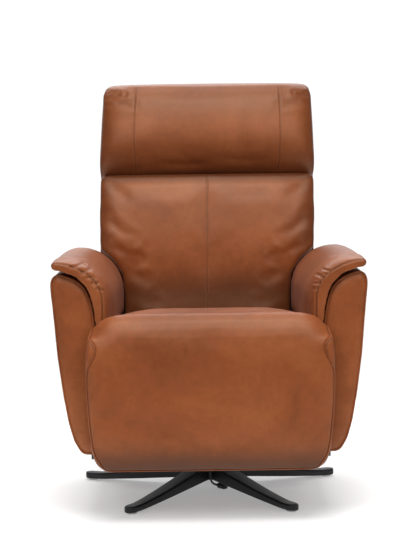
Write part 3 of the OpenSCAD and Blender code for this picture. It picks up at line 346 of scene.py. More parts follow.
def run_of(path):
    """How far along a path each of its points lies."""
    return np.concatenate([[0], np.cumsum(np.linalg.norm(np.diff(path, axis=0), axis=1))])


def read(path, run, at):
    return np.stack([np.interp(at, run, path[:, k]) for k in range(path.shape[1])], axis=-1)


def standing(flat, y):
    """Points (x, z) at one depth y."""
    return np.stack([flat[:, 0], np.full(len(flat), y), flat[:, 1]], axis=1)


def lying(flat, z):
    """Points (x, y) at one height z."""
    return np.stack([flat[:, 0], flat[:, 1], np.full(len(flat), z)], axis=1)


def smooth_line(points, count, closed=False):
    """Resamples a Catmull-Rom curve through points evenly."""
    p = np.array(points, float)
    if closed:
        p = np.vstack([p[-1], p, p[0], p[1]])
    else:
        p = np.vstack([2 * p[0] - p[1], p, 2 * p[-1] - p[-2]])
    steps = np.linspace(0, 1, 16, endpoint=False)[:, None]
    dense = []
    for a, b, c, d in zip(p[:-3], p[1:-2], p[2:-1], p[3:]):
        dense.append(0.5 * (2 * b + (c - a) * steps + (2 * a - 5 * b + 4 * c - d) * steps ** 2
                            + (3 * b - a - 3 * c + d) * steps ** 3))
    dense = np.vstack(dense + [p[-2][None]])
    run = run_of(dense)
    return read(dense, run, np.linspace(0, run[-1], count, endpoint=not closed))


def ring_of(centre, side, up, radius, count):
    """A circle of points round a centre, in the plane of two directions."""
    turns = (2 * math.pi * j / count for j in range(count))
    return [centre + radius * (math.cos(a) * side + math.sin(a) * up) for a in turns]


def ring_faces(rings, sides, start=0, closed=False):
    """Faces between rings of points that follow each other; closed joins the last ring to the first."""
    faces = []
    for i in range(rings if closed else rings - 1):
        one, next_one = start + i * sides, start + (i + 1) % rings * sides
        for j in range(sides):
            k = (j + 1) % sides
            faces.append((one + j, one + k, next_one + k, next_one + j))
    return faces


def skin(name, rings, material):
    """A closed skin over rings of one length, with a fan over each end."""
    n = len(rings[0])
    verts = np.vstack(list(rings) + [np.mean(rings[0], axis=0), np.mean(rings[-1], axis=0)])
    first, last = len(verts) - 2, len(verts) - 1
    faces = ring_faces(len(rings), n)
    end = (len(rings) - 1) * n
    for j in range(n):
        k = (j + 1) % n
        faces.append((first, k, j))
        faces.append((last, end + j, end + k))
    return put_closed(name, verts, faces, material)


def put_closed(name, verts, faces, material):
    """A closed piece, with all its faces turned outward."""
    piece = put(name, verts, faces, material)
    mesh = bmesh.new()
    mesh.from_mesh(piece.data)
    bmesh.ops.recalc_face_normals(mesh, faces=mesh.faces)
    if mesh.calc_volume(signed=True) < 0:
        bmesh.ops.reverse_faces(mesh, faces=mesh.faces)
    mesh.to_mesh(piece.data)
    mesh.free()
    return piece


def apply_modifiers(piece):
    view = bpy.context.evaluated_depsgraph_get()
    data = bpy.data.meshes.new_from_object(piece.evaluated_get(view))
    old = piece.data
    piece.modifiers.clear()
    piece.data = data
    bpy.data.meshes.remove(old)
    for polygon in data.polygons:
        polygon.use_smooth = True


def remesh(piece, voxel, relax):
    modifier = piece.modifiers.new("remesh", "REMESH")
    modifier.mode = "VOXEL"
    modifier.voxel_size = voxel
    modifier.use_smooth_shade = True
    smooth = piece.modifiers.new("relax", "SMOOTH")
    smooth.factor = 0.5
    smooth.iterations = relax
    apply_modifiers(piece)


def subdivide(piece):
    modifier = piece.modifiers.new("subdivide", "SUBSURF")
    modifier.levels = modifier.render_levels = 1
    apply_modifiers(piece)


PATH_STEP = 2 * MM


def distance_to(co, path, reach):
    """Least distance from each point to a path, only worked out within reach of it."""
    path = np.asarray(path, float)
    near = np.full(len(co), 1e3)
    low, high = path.min(0) - reach, path.max(0) + reach
    pick = np.where(np.all((co > low) & (co < high), axis=1))[0]
    run = run_of(path)
    dense = read(path, run, np.linspace(0, run[-1], max(2, int(run[-1] / PATH_STEP))))
    for part in np.array_split(pick, max(1, len(pick) // 4000)):
        if len(part):
            gap = ((co[part][:, None] - dense[None]) ** 2).sum(-1)
            near[part] = np.sqrt(gap.min(1))
    return near


def smooth_step(x):
    x = np.clip(x, 0, 1)
    return x * x * (3 - 2 * x)


def calmed(piece, move):
    """Evens a move out over neighbouring points, so that the cloth leaves no sharp puckers."""
    ends = np.empty(len(piece.data.edges) * 2, np.int32)
    piece.data.edges.foreach_get("vertices", ends)
    a, b = ends.reshape(-1, 2).T
    count = np.bincount(a, minlength=len(move)) + np.bincount(b, minlength=len(move))
    for _ in range(CALM_PASSES):
        total = np.stack([np.bincount(a, move[b, k], len(move)) + np.bincount(b, move[a, k], len(move))
                          for k in range(3)], axis=1)
        move = 0.4 * move + 0.6 * total / np.maximum(count, 1)[:, None]
    return move


CALM_PASSES = 12
CLOTH_FRAMES = 20
CLOTH_MASS = 0.35
CLOTH_STIFF = 15.0


def swell(piece, pins, pressure, cap, bending, drawn_in_by, grow=0.0):
    """Draws a closed piece in, blows it up with cloth, and lets no point move further than cap."""
    start = coords(piece) - normals(piece) * drawn_in_by
    set_coords(piece, start)
    start = coords(piece)
    cloth = piece.modifiers.new("cloth", "CLOTH")
    settings = cloth.settings
    settings.quality = 4
    settings.mass = CLOTH_MASS
    settings.tension_stiffness = settings.compression_stiffness = CLOTH_STIFF
    settings.shear_stiffness = CLOTH_STIFF / 2
    settings.bending_stiffness = bending
    settings.use_pressure = True
    settings.uniform_pressure_force = pressure
    settings.shrink_min = -grow
    settings.effector_weights.gravity = 0
    cloth.collision_settings.use_collision = False
    group = piece.vertex_groups.new(name="pins")
    for i in np.where(pins > 0.02)[0]:
        group.add([int(i)], float(min(1, pins[i])), "REPLACE")
    settings.vertex_group_mass = "pins"
    cloth.point_cache.frame_start = 1
    cloth.point_cache.frame_end = CLOTH_FRAMES
    scene = bpy.context.scene
    for step in range(1, CLOTH_FRAMES + 1):
        scene.frame_set(step)
    move = coords(piece.evaluated_get(bpy.context.evaluated_depsgraph_get())) - start
    piece.modifiers.clear()
    piece.vertex_groups.clear()
    scene.frame_set(1)
    length = np.linalg.norm(move, axis=1, keepdims=True)
    set_coords(piece, start + calmed(piece, move * np.tanh(length / cap) * cap / np.maximum(length, 1e-9)))


def paint(piece, name, amount):
    """Adds to a value that the leather reads at each point, within 0 and 1."""
    layer = piece.data.attributes.get(name)
    if layer is None:
        layer = piece.data.attributes.new(name, "FLOAT", "POINT")
    values = np.empty(len(piece.data.vertices), np.float32)
    layer.data.foreach_get("value", values)
    layer.data.foreach_set("value", np.clip(values + amount, 0, 1).astype(np.float32))


def groove(piece, path, width, depth, dark=0.6, lip=0.4 * MM):
    """Sinks a line into a piece, and paints shade into it; lip raises the leather on both sides."""
    co = coords(piece)
    near = distance_to(co, path, 5 * width)
    sink = depth * bell(near / width)
    rise = lip * bell((near - 2.4 * width) / (1.2 * width))
    set_coords(piece, co + normals(piece) * (rise - sink)[:, None])
    paint(piece, "crease", dark * bell(near / (0.75 * width)))


def fold(piece, path, width, depth, dark):
    """A soft crease that fades at both ends, with painted shade in it and a lit ridge on each side."""
    co = coords(piece)
    path = smooth_line(path, 24)
    near = distance_to(co, path, 6 * width)
    ends = np.linalg.norm(co[:, None] - path[[0, -1]][None], axis=2).min(1)
    length = run_of(path)[-1]
    fade = smooth_step(ends / (0.35 * length))
    shape = bell(near / width) - 0.5 * bell((near - 2.2 * width) / (1.1 * width))
    set_coords(piece, co - normals(piece) * (depth * fade * shape)[:, None])
    paint(piece, "crease", dark * fade * bell(near / (0.8 * width)))


def surface(piece):
    piece.data.update()
    return BVHTree.FromPolygons([v.co for v in piece.data.vertices],
                                [p.vertices for p in piece.data.polygons])


def cast(tree, points, way, reach=0.5):
    """Drops points on a surface along a direction; a miss takes the nearest place."""
    spots, faces = [], []
    way = Vector(way).normalized()
    for p in points:
        hit, normal, _, _ = tree.ray_cast(Vector(p) - way * reach, way, 2 * reach)
        if hit is None:
            hit, normal, _, _ = tree.find_nearest(Vector(p))
        spots.append(hit)
        faces.append(normal)
    return np.array(spots), np.array(faces)


def settle(tree, points):
    """The nearest places on a surface, with its normals there."""
    found = [tree.find_nearest(Vector(p)) for p in points]
    return np.array([f[0] for f in found]), np.array([f[1] for f in found])


def tangents(path, closed=False):
    if closed:
        return unit(np.roll(path, -1, axis=0) - np.roll(path, 1, axis=0))
    return unit(np.gradient(path, axis=0))


def welt_tube(name, path, radius, closed=False):
    """A piped welt: a round tube on a path."""
    n = WELT_SIDES
    along = tangents(path, closed)
    up = np.tile([0.0, 0.0, 1.0], (len(path), 1))
    up[np.abs(along[:, 2]) > 0.95] = [0, 1, 0]
    side = unit(np.cross(along, up))
    up = unit(np.cross(side, along))
    verts = []
    for i in range(len(path)):
        verts += ring_of(path[i], side[i], up[i], radius, n)
    faces = ring_faces(len(path), n, closed=closed)
    if not closed:
        faces.append(tuple(range(n)))
        faces.append(tuple((len(path) - 1) * n + j for j in reversed(range(n))))
    return put_closed(name, verts, faces, welt_leather)


# Rings of one stitch: place along it and share of its radius
STITCH_RINGS = ((-0.5, 0.35), (-0.36, 0.85), (0.0, 1.0), (0.36, 0.85), (0.5, 0.35))
STITCH_SIDES = 6
STITCH_LIFT = 0.35 * MM
WELT_SIDES = 8


def stitch_row(path, face, pitch, length, radius):
    """Points and faces of one row of stitches on a path."""
    run = run_of(path)
    verts, faces = [], []
    for at in np.arange(pitch, run[-1] - pitch, pitch):
        spot, up = read(path, run, at), unit(read(face, run, at))
        way = unit(read(path, run, at + 0.5 * length) - spot)
        side = unit(np.cross(way, up))
        start = len(verts)
        for share, fat in STITCH_RINGS:
            centre = spot + way * share * length
            centre = centre + up * (STITCH_LIFT - 1.3 * STITCH_LIFT * (2 * share) ** 2)
            verts += ring_of(centre, side, up, radius * fat, STITCH_SIDES)
        faces += ring_faces(len(STITCH_RINGS), STITCH_SIDES, start)
        faces.append(tuple(start + j for j in reversed(range(STITCH_SIDES))))
        faces.append(tuple(len(verts) - STITCH_SIDES + j for j in range(STITCH_SIDES)))
    return verts, faces


def topstitch(name, tree, path, face, offsets, pitch=6.5 * MM, length=4.6 * MM, radius=0.55 * MM):
    """Rows of thread beside a seam, one row for each offset to its side."""
    verts, faces = [], []
    side = unit(np.cross(tangents(path), face))
    for offset in offsets:
        row, row_face = settle(tree, path + side * offset)
        more, more_faces = stitch_row(row, row_face, pitch, length, radius)
        faces += [tuple(i + len(verts) for i in f) for f in more_faces]
        verts += more
    return put_closed(name, verts, faces, thread)


def mirrored(piece, name):
    data = piece.data.copy()
    data.flip_normals()
    twin = show(name, data)
    set_coords(twin, coords(twin) * [-1, 1, 1])
    return twin


def loop(half, low, high, square, count=64):
    """A rounded loop in two axes: half width, low and high side, and how square its corners are."""
    a = 2 * math.pi * (np.arange(count) + 0.5) / count
    power = 2 / square
    u = half * np.sign(np.cos(a)) * np.abs(np.cos(a)) ** power
    v = (low + high) / 2 + (high - low) / 2 * np.sign(np.sin(a)) * np.abs(np.sin(a)) ** power
    return np.stack([u, v], axis=1)


def table(rows, places, column):
    rows = np.array(rows, float)
    return np.interp(places, rows[:, 0], rows[:, column])


BACK_SKEW = 0.014
BACK_SKEW_FROM = 0.15


def skewed(x, up):
    """The cushions of the photo sit a little to the right, more so towards the top."""
    return x + BACK_SKEW * np.maximum(0, up - BACK_SKEW_FROM)


def all_places(rows, low, high, count):
    """Even places and the table's own, in order."""
    return np.unique(np.concatenate([np.linspace(low, high, count), [r[0] for r in rows]]))


def soft_table(rows, place, column, spread):
    """A table read as a mean over a short reach, so that a profile has no kinks; the ends stay."""
    reach = min(spread, place - rows[0][0], rows[-1][0] - place)
    return float(np.mean([table(rows, place + reach * t, column) for t in np.linspace(-1, 1, 9)]))


def leaning(co):
    """Depth and height of points in the back's own leaning frame."""
    y, z = co[:, 1] - HINGE[1], co[:, 2] - HINGE[2]
    return y * math.cos(LEAN) - z * math.sin(LEAN), y * math.sin(LEAN) + z * math.cos(LEAN)


def lean(p):
    """From the back's own leaning frame (x, rearwards, up) to the chair's."""
    p = np.asarray(p, float)
    y = HINGE[1] + p[..., 1] * math.cos(LEAN) + p[..., 2] * math.sin(LEAN)
    z = HINGE[2] - p[..., 1] * math.sin(LEAN) + p[..., 2] * math.cos(LEAN)
    return np.stack([skewed(p[..., 0], p[..., 2]), y, z], axis=-1)


LEAN_FRONT = (0, math.cos(LEAN), -math.sin(LEAN))


def shade(dark, beyond, over):
    """A darkness that grows to its full value over a distance beyond its start."""
    return dark * smooth_step(beyond / over)


def shade_and_burnish(piece, *shades):
    """Paints shade into a cushion's colour, by the deepest of the shades given and of its sides' own; in
    places it also stands for burnished edges.
    """
    co = coords(piece)
    _, up = leaning(co)
    # Painted shade: darker towards both sides.
    side = shade(0.42, np.abs(co[:, 0] - skewed(0, up)) - 0.225, over=0.055)
    paint(piece, "shade_and_burnish", np.maximum.reduce([side, *shades]))


def padded(piece, body, fill, *nodes):
    if body:
        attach(piece, body)
    if nodes:
        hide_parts(*nodes)


def trim(piece, body):
    if body:
        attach(piece, body)


# The lead under the hub

LEAD_R = 2.5 * MM
LEAD_TOP = 36 * MM
LEAD_DROP = 10 * MM
LEAD_BEND = 18 * MM
LEAD_BEND_STEPS = 14
LEAD_HEADING = math.radians(-45)


def make_lead():
    line = [(0, LEAD_TOP - LEAD_DROP * t / 3) for t in range(3)]
    for a in np.linspace(0, math.pi / 2, LEAD_BEND_STEPS + 1):
        line.append((LEAD_BEND * (1 - math.cos(a)), LEAD_TOP - LEAD_DROP - LEAD_BEND * math.sin(a)))
    data = bpy.data.curves.new("power_cord", "CURVE")
    data.dimensions = "3D"
    data.bevel_depth = LEAD_R
    data.bevel_resolution = 4
    data.use_fill_caps = True
    spline = data.splines.new("POLY")
    spline.points.add(len(line) - 1)
    for point, (out, z) in zip(spline.points, line):
        point.co = (out * math.cos(LEAD_HEADING), out * math.sin(LEAD_HEADING), z, 1)
    data.materials.append(lead_rubber)
    cord = show("power_cord", data)
    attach(cord, "base")
    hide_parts("power_lead")


make_lead()


# Star base

LEG_COUNT = 5
LEG_REACH = 0.345
HUB_R = 0.048
HUB_Z = 0.028
LEG_FLAT_FROM = 0.306
GLIDE_H = 0.005
LEG_BEVEL = 4 * MM
LEG_T_HUB = 0.036
LEG_T_TIP = 0.015
LEG_W_HUB = 0.050
LEG_W_TIP = 0.031
TIP_R = 0.0155
HUB_IN = 0.020
HUB_TOP = 0.064
TIP_ANGLES = (12, 24, 36, 48, 60, 70, 78, 85)


def leg_share(r):
    return min(1, max(0, (r - HUB_R) / (LEG_FLAT_FROM - HUB_R)))


def leg_section(r, half):
    share = leg_share(r)
    low = GLIDE_H + (HUB_Z - GLIDE_H) * (1 - share) ** 1.15
    high = low + LEG_T_TIP + (LEG_T_HUB - LEG_T_TIP) * (1 - share) ** 1.35
    under = min(half, LEG_BEVEL / 3) * 0.9
    top = min(half, LEG_BEVEL) * 0.9
    crown = 0.5 * MM * min(1, half / 0.015)
    side = [(half - under, low), (half, low + LEG_BEVEL / 3), (half, high - LEG_BEVEL),
            (half - top * 0.55, high - LEG_BEVEL * 0.30), (half - top, high),
            (0.45 * (half - top), high + crown)]
    return np.array([(r, y, z) for y, z in side] + [(r, -y, z) for y, z in reversed(side)])


def make_star_base():
    rings = []
    for r in np.linspace(0.024, LEG_REACH - TIP_R, 26):
        rings.append(leg_section(r, (LEG_W_HUB + (LEG_W_TIP - LEG_W_HUB) * leg_share(r)) / 2))
    for a in np.radians(TIP_ANGLES):
        half = max(1.2 * MM, TIP_R * math.cos(a))
        rings.append(leg_section(LEG_REACH - TIP_R + TIP_R * math.sin(a), half))
    leg = skin("leg_form", rings, black_coat)
    verts = coords(leg)
    faces = [tuple(p.vertices) for p in leg.data.polygons]
    bpy.data.objects.remove(leg)
    all_verts, all_faces = [], []
    for i in range(LEG_COUNT):
        a = math.radians(-90 + 180 / LEG_COUNT + i * 360 / LEG_COUNT)
        turn = np.array([[math.cos(a), -math.sin(a), 0], [math.sin(a), math.cos(a), 0], [0, 0, 1]])
        all_faces += [tuple(k + len(all_verts) for k in f) for f in faces]
        all_verts += list(verts @ turn.T)
    blades = put("star_blades", all_verts, all_faces, black_coat)
    profile = [(HUB_IN, HUB_Z), (HUB_R - 2 * MM, HUB_Z), (HUB_R, HUB_Z + 2 * MM), (HUB_R, HUB_TOP - 3 * MM),
               (HUB_R - 1 * MM, HUB_TOP - 1 * MM), (HUB_R - 3 * MM, HUB_TOP), (0.045, HUB_TOP + 0.2 * MM),
               (HUB_IN, HUB_TOP + 0.2 * MM)]
    hub = lathe("star_hub", profile, black_coat, 72)
    for piece, degrees in ((blades, 28), (hub, 35)):
        crisp(piece, degrees)
        trim(piece, "base")
    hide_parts("star_base")


def lathe(name, profile, material, steps):
    """A profile (radius, height) turned round the upright axis."""
    verts = []
    for i in range(steps):
        a = 2 * math.pi * i / steps
        verts += [(r * math.cos(a), r * math.sin(a), z) for r, z in profile]
    return put_closed(name, verts, ring_faces(steps, len(profile), closed=True), material)


def crisp(piece, degrees):
    """Marks edges sharper than the angle, so that smooth shading stops there."""
    mesh = bmesh.new()
    mesh.from_mesh(piece.data)
    for edge in mesh.edges:
        if len(edge.link_faces) == 2 and edge.calc_face_angle(0) > math.radians(degrees):
            edge.smooth = False
    mesh.to_mesh(piece.data)
    mesh.free()


make_star_base()


# Seat and footrest: one leather cover that runs over the crease

# Share of the way from the seat's rear to the pole of the footrest's fold: share of the seat's width, low
# and high side from FOAM_Z (0) to CREST_Z (1), and share of the way to the chaise's width
SEAT_ROWS = [
    (0.000, 0.93, 0.04, 0.44, 0), (0.015, 0.97, 0.01, 0.52, 0), (0.050, 0.99, 0, 0.565, 0),
    (0.20, 1, 0, 0.60, 0), (0.40, 1, 0, 0.69, 0), (0.60, 1, 0, 0.80, 0), (0.76, 1, 0, 0.91, 0),
    (0.85, 1, 0.02, 0.97, 0), (0.895, 1, 0.28, 0.995, 0), (0.945, 1, 0.46, 1.00, 0),
    (0.972, 1, 0.56, 1.0, 0.10), (0.982, 1, 0.585, 1.0, 0.70), (1, 1, 0.645, 1.0, 0.93)]
# Share of the height from the footrest's lower edge to the pole: share of the chaise's width
FOOT_ROWS = [
    (0, 0.80), (0.010, 0.85), (0.03, 0.889), (0.057, 0.918), (0.093, 0.939), (0.13, 0.951), (0.183, 0.963),
    (0.24, 0.970), (0.35, 0.981), (0.55, 0.993), (0.70, 1), (0.85, 1), (1, 0.982)]
CREST_Z = 0.501
CREST_DROOP = 13
FOOT_BOTTOM = FOOT_LOW[2] - 3.5 * MM
# The same share of the height: how far the front stands out, in depths of the footrest's pad
FOOT_FRONT = [
    (0, 0.45), (0.02, 0.60), (0.05, 0.74), (0.09, 0.85), (0.14, 0.93), (0.22, 0.985), (0.32, 1.015),
    (0.50, 1.03), (0.70, 1.03), (0.80, 1.02), (0.87, 1.005), (0.935, 0.97), (1, 0.914)]
# Degrees over the fold from the top: share of the crest's height above the pole
CREST_REACH = [(0, 1.0), (14, 0.99), (28, 0.91), (45, 0.80), (67, 0.735), (90, 0.756)]
FOAM_Z = 0.3639
SEAT_W = 0.4449
CHAISE_W = 0.576
FOOT_PLACES = [1.0, 0.95, 0.90, 0.85, 0.80, 0.75, 0.65, 0.55, 0.45, 0.35, 0.26, 0.18, 0.14, 0.11, 0.085,
               0.065, 0.045, 0.03, 0.018, 0.008, 0]
CREST_ANGLES = (10, 22, 34, 46, 58, 70, 80)


def crest_droop(share, angle):
    """How much of the crest's reach is left at a share of its half width."""
    return 1 - share ** CREST_DROOP * (0.35 + 0.65 * math.cos(angle))


def crest_loop(half, reach, angle):
    """A ring of the crease: it stands on the pole, and its outer edge droops towards both sides."""
    count = 64
    a = 2 * math.pi * (np.arange(count) + 0.5) / count
    u = half * np.sign(np.cos(a)) * np.abs(np.cos(a)) ** 0.28
    share = np.abs(u / half)
    droop = crest_droop(share, angle)
    v = np.where(np.sin(a) > 0, reach * droop * np.abs(np.sin(a)) ** 0.16, 0)
    y = POLE_Y - v * math.sin(angle)
    z = POLE_Z + v * math.cos(angle)
    return np.stack([u, y, z], axis=1)


def seat_rings():
    rings = []
    for place in all_places(SEAT_ROWS, 0, 1, 30):
        half = (SEAT_W * table(SEAT_ROWS, place, 1) + (CHAISE_W - SEAT_W) * table(SEAT_ROWS, place, 4)) / 2
        low = FOAM_Z + (CREST_Z - FOAM_Z) * table(SEAT_ROWS, place, 2)
        high = FOAM_Z + (CREST_Z - FOAM_Z) * table(SEAT_ROWS, place, 3)
        y = SEAT_REAR + (POLE_Y - SEAT_REAR) * place
        flat = loop(half, low, high, 3.6 + 2.4 * place)
        droop = (CREST_Z - POLE_Z) * smooth_step((place - 0.75) / 0.25)
        share = np.clip(np.abs(flat[:, 0]) / (CHAISE_W * 0.491), 0, 1)
        top = flat[:, 1] > (low + high) / 2
        flat[:, 1] -= np.where(top, droop * share ** CREST_DROOP, 0)
        rings.append(standing(flat, y))
    for angle in np.radians(CREST_ANGLES):
        half = CHAISE_W / 2 * (0.975 + 0.007 * angle)
        reach = (CREST_Z - POLE_Z) * table(CREST_REACH, math.degrees(angle), 1)
        rings.append(crest_loop(half, reach, angle))
    tall = POLE_Z - FOOT_BOTTOM
    for share in FOOT_PLACES:
        half = CHAISE_W / 2 * table(FOOT_ROWS, share, 1)
        front = SKIN_T * table(FOOT_FRONT, share, 1)
        flat = loop(half, 0, front, 7.0) * [1, -1] + [0, POLE_Y]
        rings.append(lying(flat, FOOT_BOTTOM + tall * share))
    return rings


def make_seat():
    seat = skin("seat_cover", seat_rings(), leather)
    remesh(seat, 6 * MM, 4)
    _, y, z = coords(seat).T
    pins = np.where((y > POLE_Y - 8 * MM) & (z < POLE_Z), 1.0,
                    np.where((z < FOAM_Z + 10 * MM) & (y > POLE_Y), 0.6, 0.0))
    swell(seat, pins, pressure=3.0, cap=4 * MM, bending=3.0, drawn_in_by=1.2 * MM)
    subdivide(seat)
    wrinkle_seat(seat)
    _, y, z = coords(seat).T
    # Painted shade: the footrest's front darker towards its lower edge.
    paint(seat, "shade_and_burnish", shade(0.85, FOOT_LOW[2] + 0.085 - z, over=0.080) * (y < POLE_Y))
    padded(seat, None, 0.8, "seat_cushion", "chaise_bridge", "footrest_pad")
    make_seat_welts(seat)
    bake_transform(seat)


def wrinkle_seat(seat):
    y = FOOT_LOW[1]
    folds = [
        ([(-0.062, y, 0.425), (-0.058, y, 0.412), (-0.063, y, 0.398)], 5 * MM, 0.9 * MM),
        ([(-0.10, y, 0.330), (-0.06, y, 0.322), (-0.01, y, 0.328)], 16 * MM, 0.8 * MM),
        ([(0.05, y, 0.300), (0.11, y, 0.288), (0.17, y, 0.296)], 18 * MM, 0.7 * MM),
        ([(-0.20, y, 0.262), (-0.15, y, 0.248), (-0.08, y, 0.256)], 20 * MM, 0.7 * MM),
        ([(-0.02, y, 0.215), (0.05, y, 0.205), (0.13, y, 0.214)], 20 * MM, 0.7 * MM),
        ([(0.262, y, 0.40), (0.240, y, 0.375), (0.225, y, 0.345)], 9 * MM, 0.8 * MM),
        ([(-0.262, y, 0.395), (-0.243, y, 0.37), (-0.23, y, 0.34)], 9 * MM, 0.8 * MM)]
    for path, width, depth in folds:
        fold(seat, path, width, depth, 0.05)


def make_seat_welts(seat):
    """The welt of the footrest's front panel: up both sides, over the shoulders and back beside the arms."""
    tree = surface(seat)
    half, low = CHAISE_W / 2, FOOT_BOTTOM
    side = [(half * 0.985, POLE_Z - 0.02), (half * 0.985, 0.36), (half * 0.980, 0.30), (half * 0.968, 0.245),
            (half * 0.955, 0.21), (half * 0.935, 0.177), (half * 0.90, 0.157), (half * 0.84, low + 7 * MM),
            (half * 0.74, low + 5 * MM), (half * 0.5, low + 5 * MM), (half * 0.2, low + 5 * MM)]
    front, _ = cast(tree, [(x - 2 * MM, FOOT_LOW[1] - 0.1, z) for x, z in side], (0, 1, 0))
    over = []
    for angle in np.radians([0, 15, 30, 45, 60, 75]):
        reach = (CREST_Z - POLE_Z) * crest_droop(0.965, angle)
        over.append((half * (0.955 + 0.028 * math.sin(angle)),
                     POLE_Y - reach * math.sin(angle), POLE_Z + reach * math.cos(angle)))
    over = [(half * 0.955, POLE_Y + 0.03, over[0][2] + 2 * MM)] + over
    over, _ = settle(tree, over)
    right = np.vstack([over, front])
    left = right[::-1] * [-1, 1, 1]
    points, faces = settle(tree, smooth_line(np.vstack([right, left]), 480))
    for _ in range(4):
        points[1:-1] = 0.25 * points[:-2] + 0.5 * points[1:-1] + 0.25 * points[2:]
    groove(seat, points, width=3.0 * MM, depth=1.5 * MM)
    welt = welt_tube("footrest_welt", points + unit(faces) * 0.4 * MM, 1.9 * MM)
    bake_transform(welt)


make_seat()


# Back cushion

# Metres up the back: share of its half width and of its depth
BACK_ROWS = [
    (0.0, 0.735, 0.44), (0.008, 0.755, 0.50), (0.015, 0.765, 0.55), (0.033, 0.774, 0.60),
    (0.083, 0.781, 0.64), (0.130, 0.783, 0.70), (0.170, 0.789, 0.84), (0.184, 0.816, 0.89),
    (0.198, 0.850, 0.94), (0.212, 0.890, 0.98), (0.222, 0.930, 1.01), (0.232, 0.970, 1.03),
    (0.243, 0.996, 1.05), (0.27, 1.002, 1.08), (0.30, 1.004, 1.10), (0.34, 1.006, 1.09),
    (0.38, 1.008, 1.06), (0.410, 1.010, 1.02), (0.430, 1.009, 0.97), (0.441, 1.004, 0.88),
    (0.447, 0.99, 0.72), (0.450, 0.975, 0.52)]
BACK_SQUARE = 4.4
BACK_TOP = 0.450
BACK_REAR = -0.060
BACK_T = 0.062


def make_back():
    rings = []
    for place in all_places(BACK_ROWS, 0, BACK_TOP, 26):
        half = BACK_HALF * table(BACK_ROWS, place, 1)
        front = BACK_REAR - BACK_T * soft_table(BACK_ROWS, place, 2, 0.02)
        rings.append(lean(lying(loop(half, front, BACK_REAR, BACK_SQUARE), place)))
    back = skin("back_cover", rings, leather)
    remesh(back, 5.5 * MM, 4)
    seam = lean([(0, BACK_REAR - BACK_T * 1.05, BACK_TOP * t) for t in np.linspace(0.0, 1.0, 40)])
    co = coords(back)
    deep, _ = leaning(co)
    pins = np.maximum(0.8 * bell(distance_to(co, seam, 0.04) / (12 * MM)),
                      np.where(deep > BACK_REAR - 22 * MM, 0.9, 0))
    swell(back, pins, pressure=4.0, cap=6 * MM, bending=5.0, drawn_in_by=1 * MM)
    subdivide(back)
    path, _ = cast(surface(back), seam[1:-1], LEAN_FRONT)
    groove(back, path, width=1.9 * MM, depth=1.4 * MM)
    wrinkle_back(back)
    _, up = leaning(coords(back))
    # Painted shade: darker over the foot of the back, which the arms and seat shade, and a painted shadow in
    # a band under the headrest.
    shade_and_burnish(back, shade(0.75, 0.205 - up, over=0.090), shade(0.78, up - 0.408, over=0.034))
    tree = surface(back)
    path, face = cast(tree, smooth_line(path, 160), LEAN_FRONT)
    threads = topstitch("back_stitches", tree, path, face, (-4 * MM, 4 * MM), radius=0.42 * MM)
    padded(back, "back", 0.75, "back_cushion")
    trim(threads, "back")


def on_back(x, up):
    return (x, BACK_REAR - BACK_T, BACK_LEN * up)


def wrinkle_back(back):
    """Soft pulls from the arms towards the middle, and gathers at the sides."""
    folds = []
    for side in (-1, 1):
        folds += [
            ([(side * 0.272, 0.80), (side * 0.235, 0.70), (side * 0.200, 0.64)], 13 * MM, 2.4 * MM),
            ([(side * 0.262, 0.62), (side * 0.225, 0.56), (side * 0.185, 0.50)], 13 * MM, 2.6 * MM),
            ([(side * 0.216, 0.47), (side * 0.190, 0.41), (side * 0.160, 0.38)], 12 * MM, 2.2 * MM),
            ([(side * 0.212, 0.30), (side * 0.180, 0.24), (side * 0.14, 0.22)], 13 * MM, 2.0 * MM),
            ([(side * 0.205, 0.17), (side * 0.16, 0.13), (side * 0.10, 0.13)], 13 * MM, 2.0 * MM),
            ([(side * 0.055, 0.30), (side * 0.060, 0.45), (side * 0.052, 0.60)], 18 * MM, 0.8 * MM)]
    folds += [
        ([(-0.17, 0.97), (-0.12, 0.94), (-0.06, 0.955)], 14 * MM, 0.7 * MM),
        ([(0.05, 0.94), (0.12, 0.92), (0.19, 0.95)], 14 * MM, 0.7 * MM)]
    for path, width, depth in folds:
        fold(back, lean([on_back(x, up) for x, up in path]), width, depth, 0.04)


make_back()


# Back shell

SHELL_SEAMS = (-0.185, 0.185)
SHELL_CAST = 0.06


def make_shell():
    """The leather over the rear shell, rounded from the frame's own solid."""
    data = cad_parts["back_shell"].data.copy()
    data.materials.clear()
    data.materials.append(leather)
    shell = show("back_shell_cover", data)
    remesh(shell, 5 * MM, 7)
    co = coords(shell)
    deep, up = leaning(co)
    rear = smooth_step((deep - 0.012) / 0.012)
    crown = 3.5 * MM * rear * np.cos(np.clip(co[:, 0] / BACK_HALF, -1, 1) * math.pi / 2) ** 0.6
    push = np.stack([skewed(0, up), crown * math.cos(LEAN), -crown * math.sin(LEAN)], axis=1)
    set_coords(shell, co + push)
    tree = surface(shell)
    lines = [[(x, SHELL_CAST, BACK_LEN * t) for t in np.linspace(0.11, 0.975, 60)] for x in SHELL_SEAMS]
    lines.append([(x, SHELL_CAST, BACK_LEN * 0.13) for x in np.linspace(-0.183, 0.183, 80)])
    paths = [cast(tree, lean(line), [-w for w in LEAN_FRONT])[0] for line in lines]
    for path in paths:
        groove(shell, path, width=3.2 * MM, depth=1.4 * MM)
    tree = surface(shell)
    for i, path in enumerate(paths):
        path, face = settle(tree, smooth_line(path, 200))
        trim(topstitch(f"shell_stitches_{i}", tree, path, face, (-4.5 * MM, 4.5 * MM)), "back")
    padded(shell, "back", 0.9, "back_shell")


make_shell()


# Soft sides between the back cushion and its shell

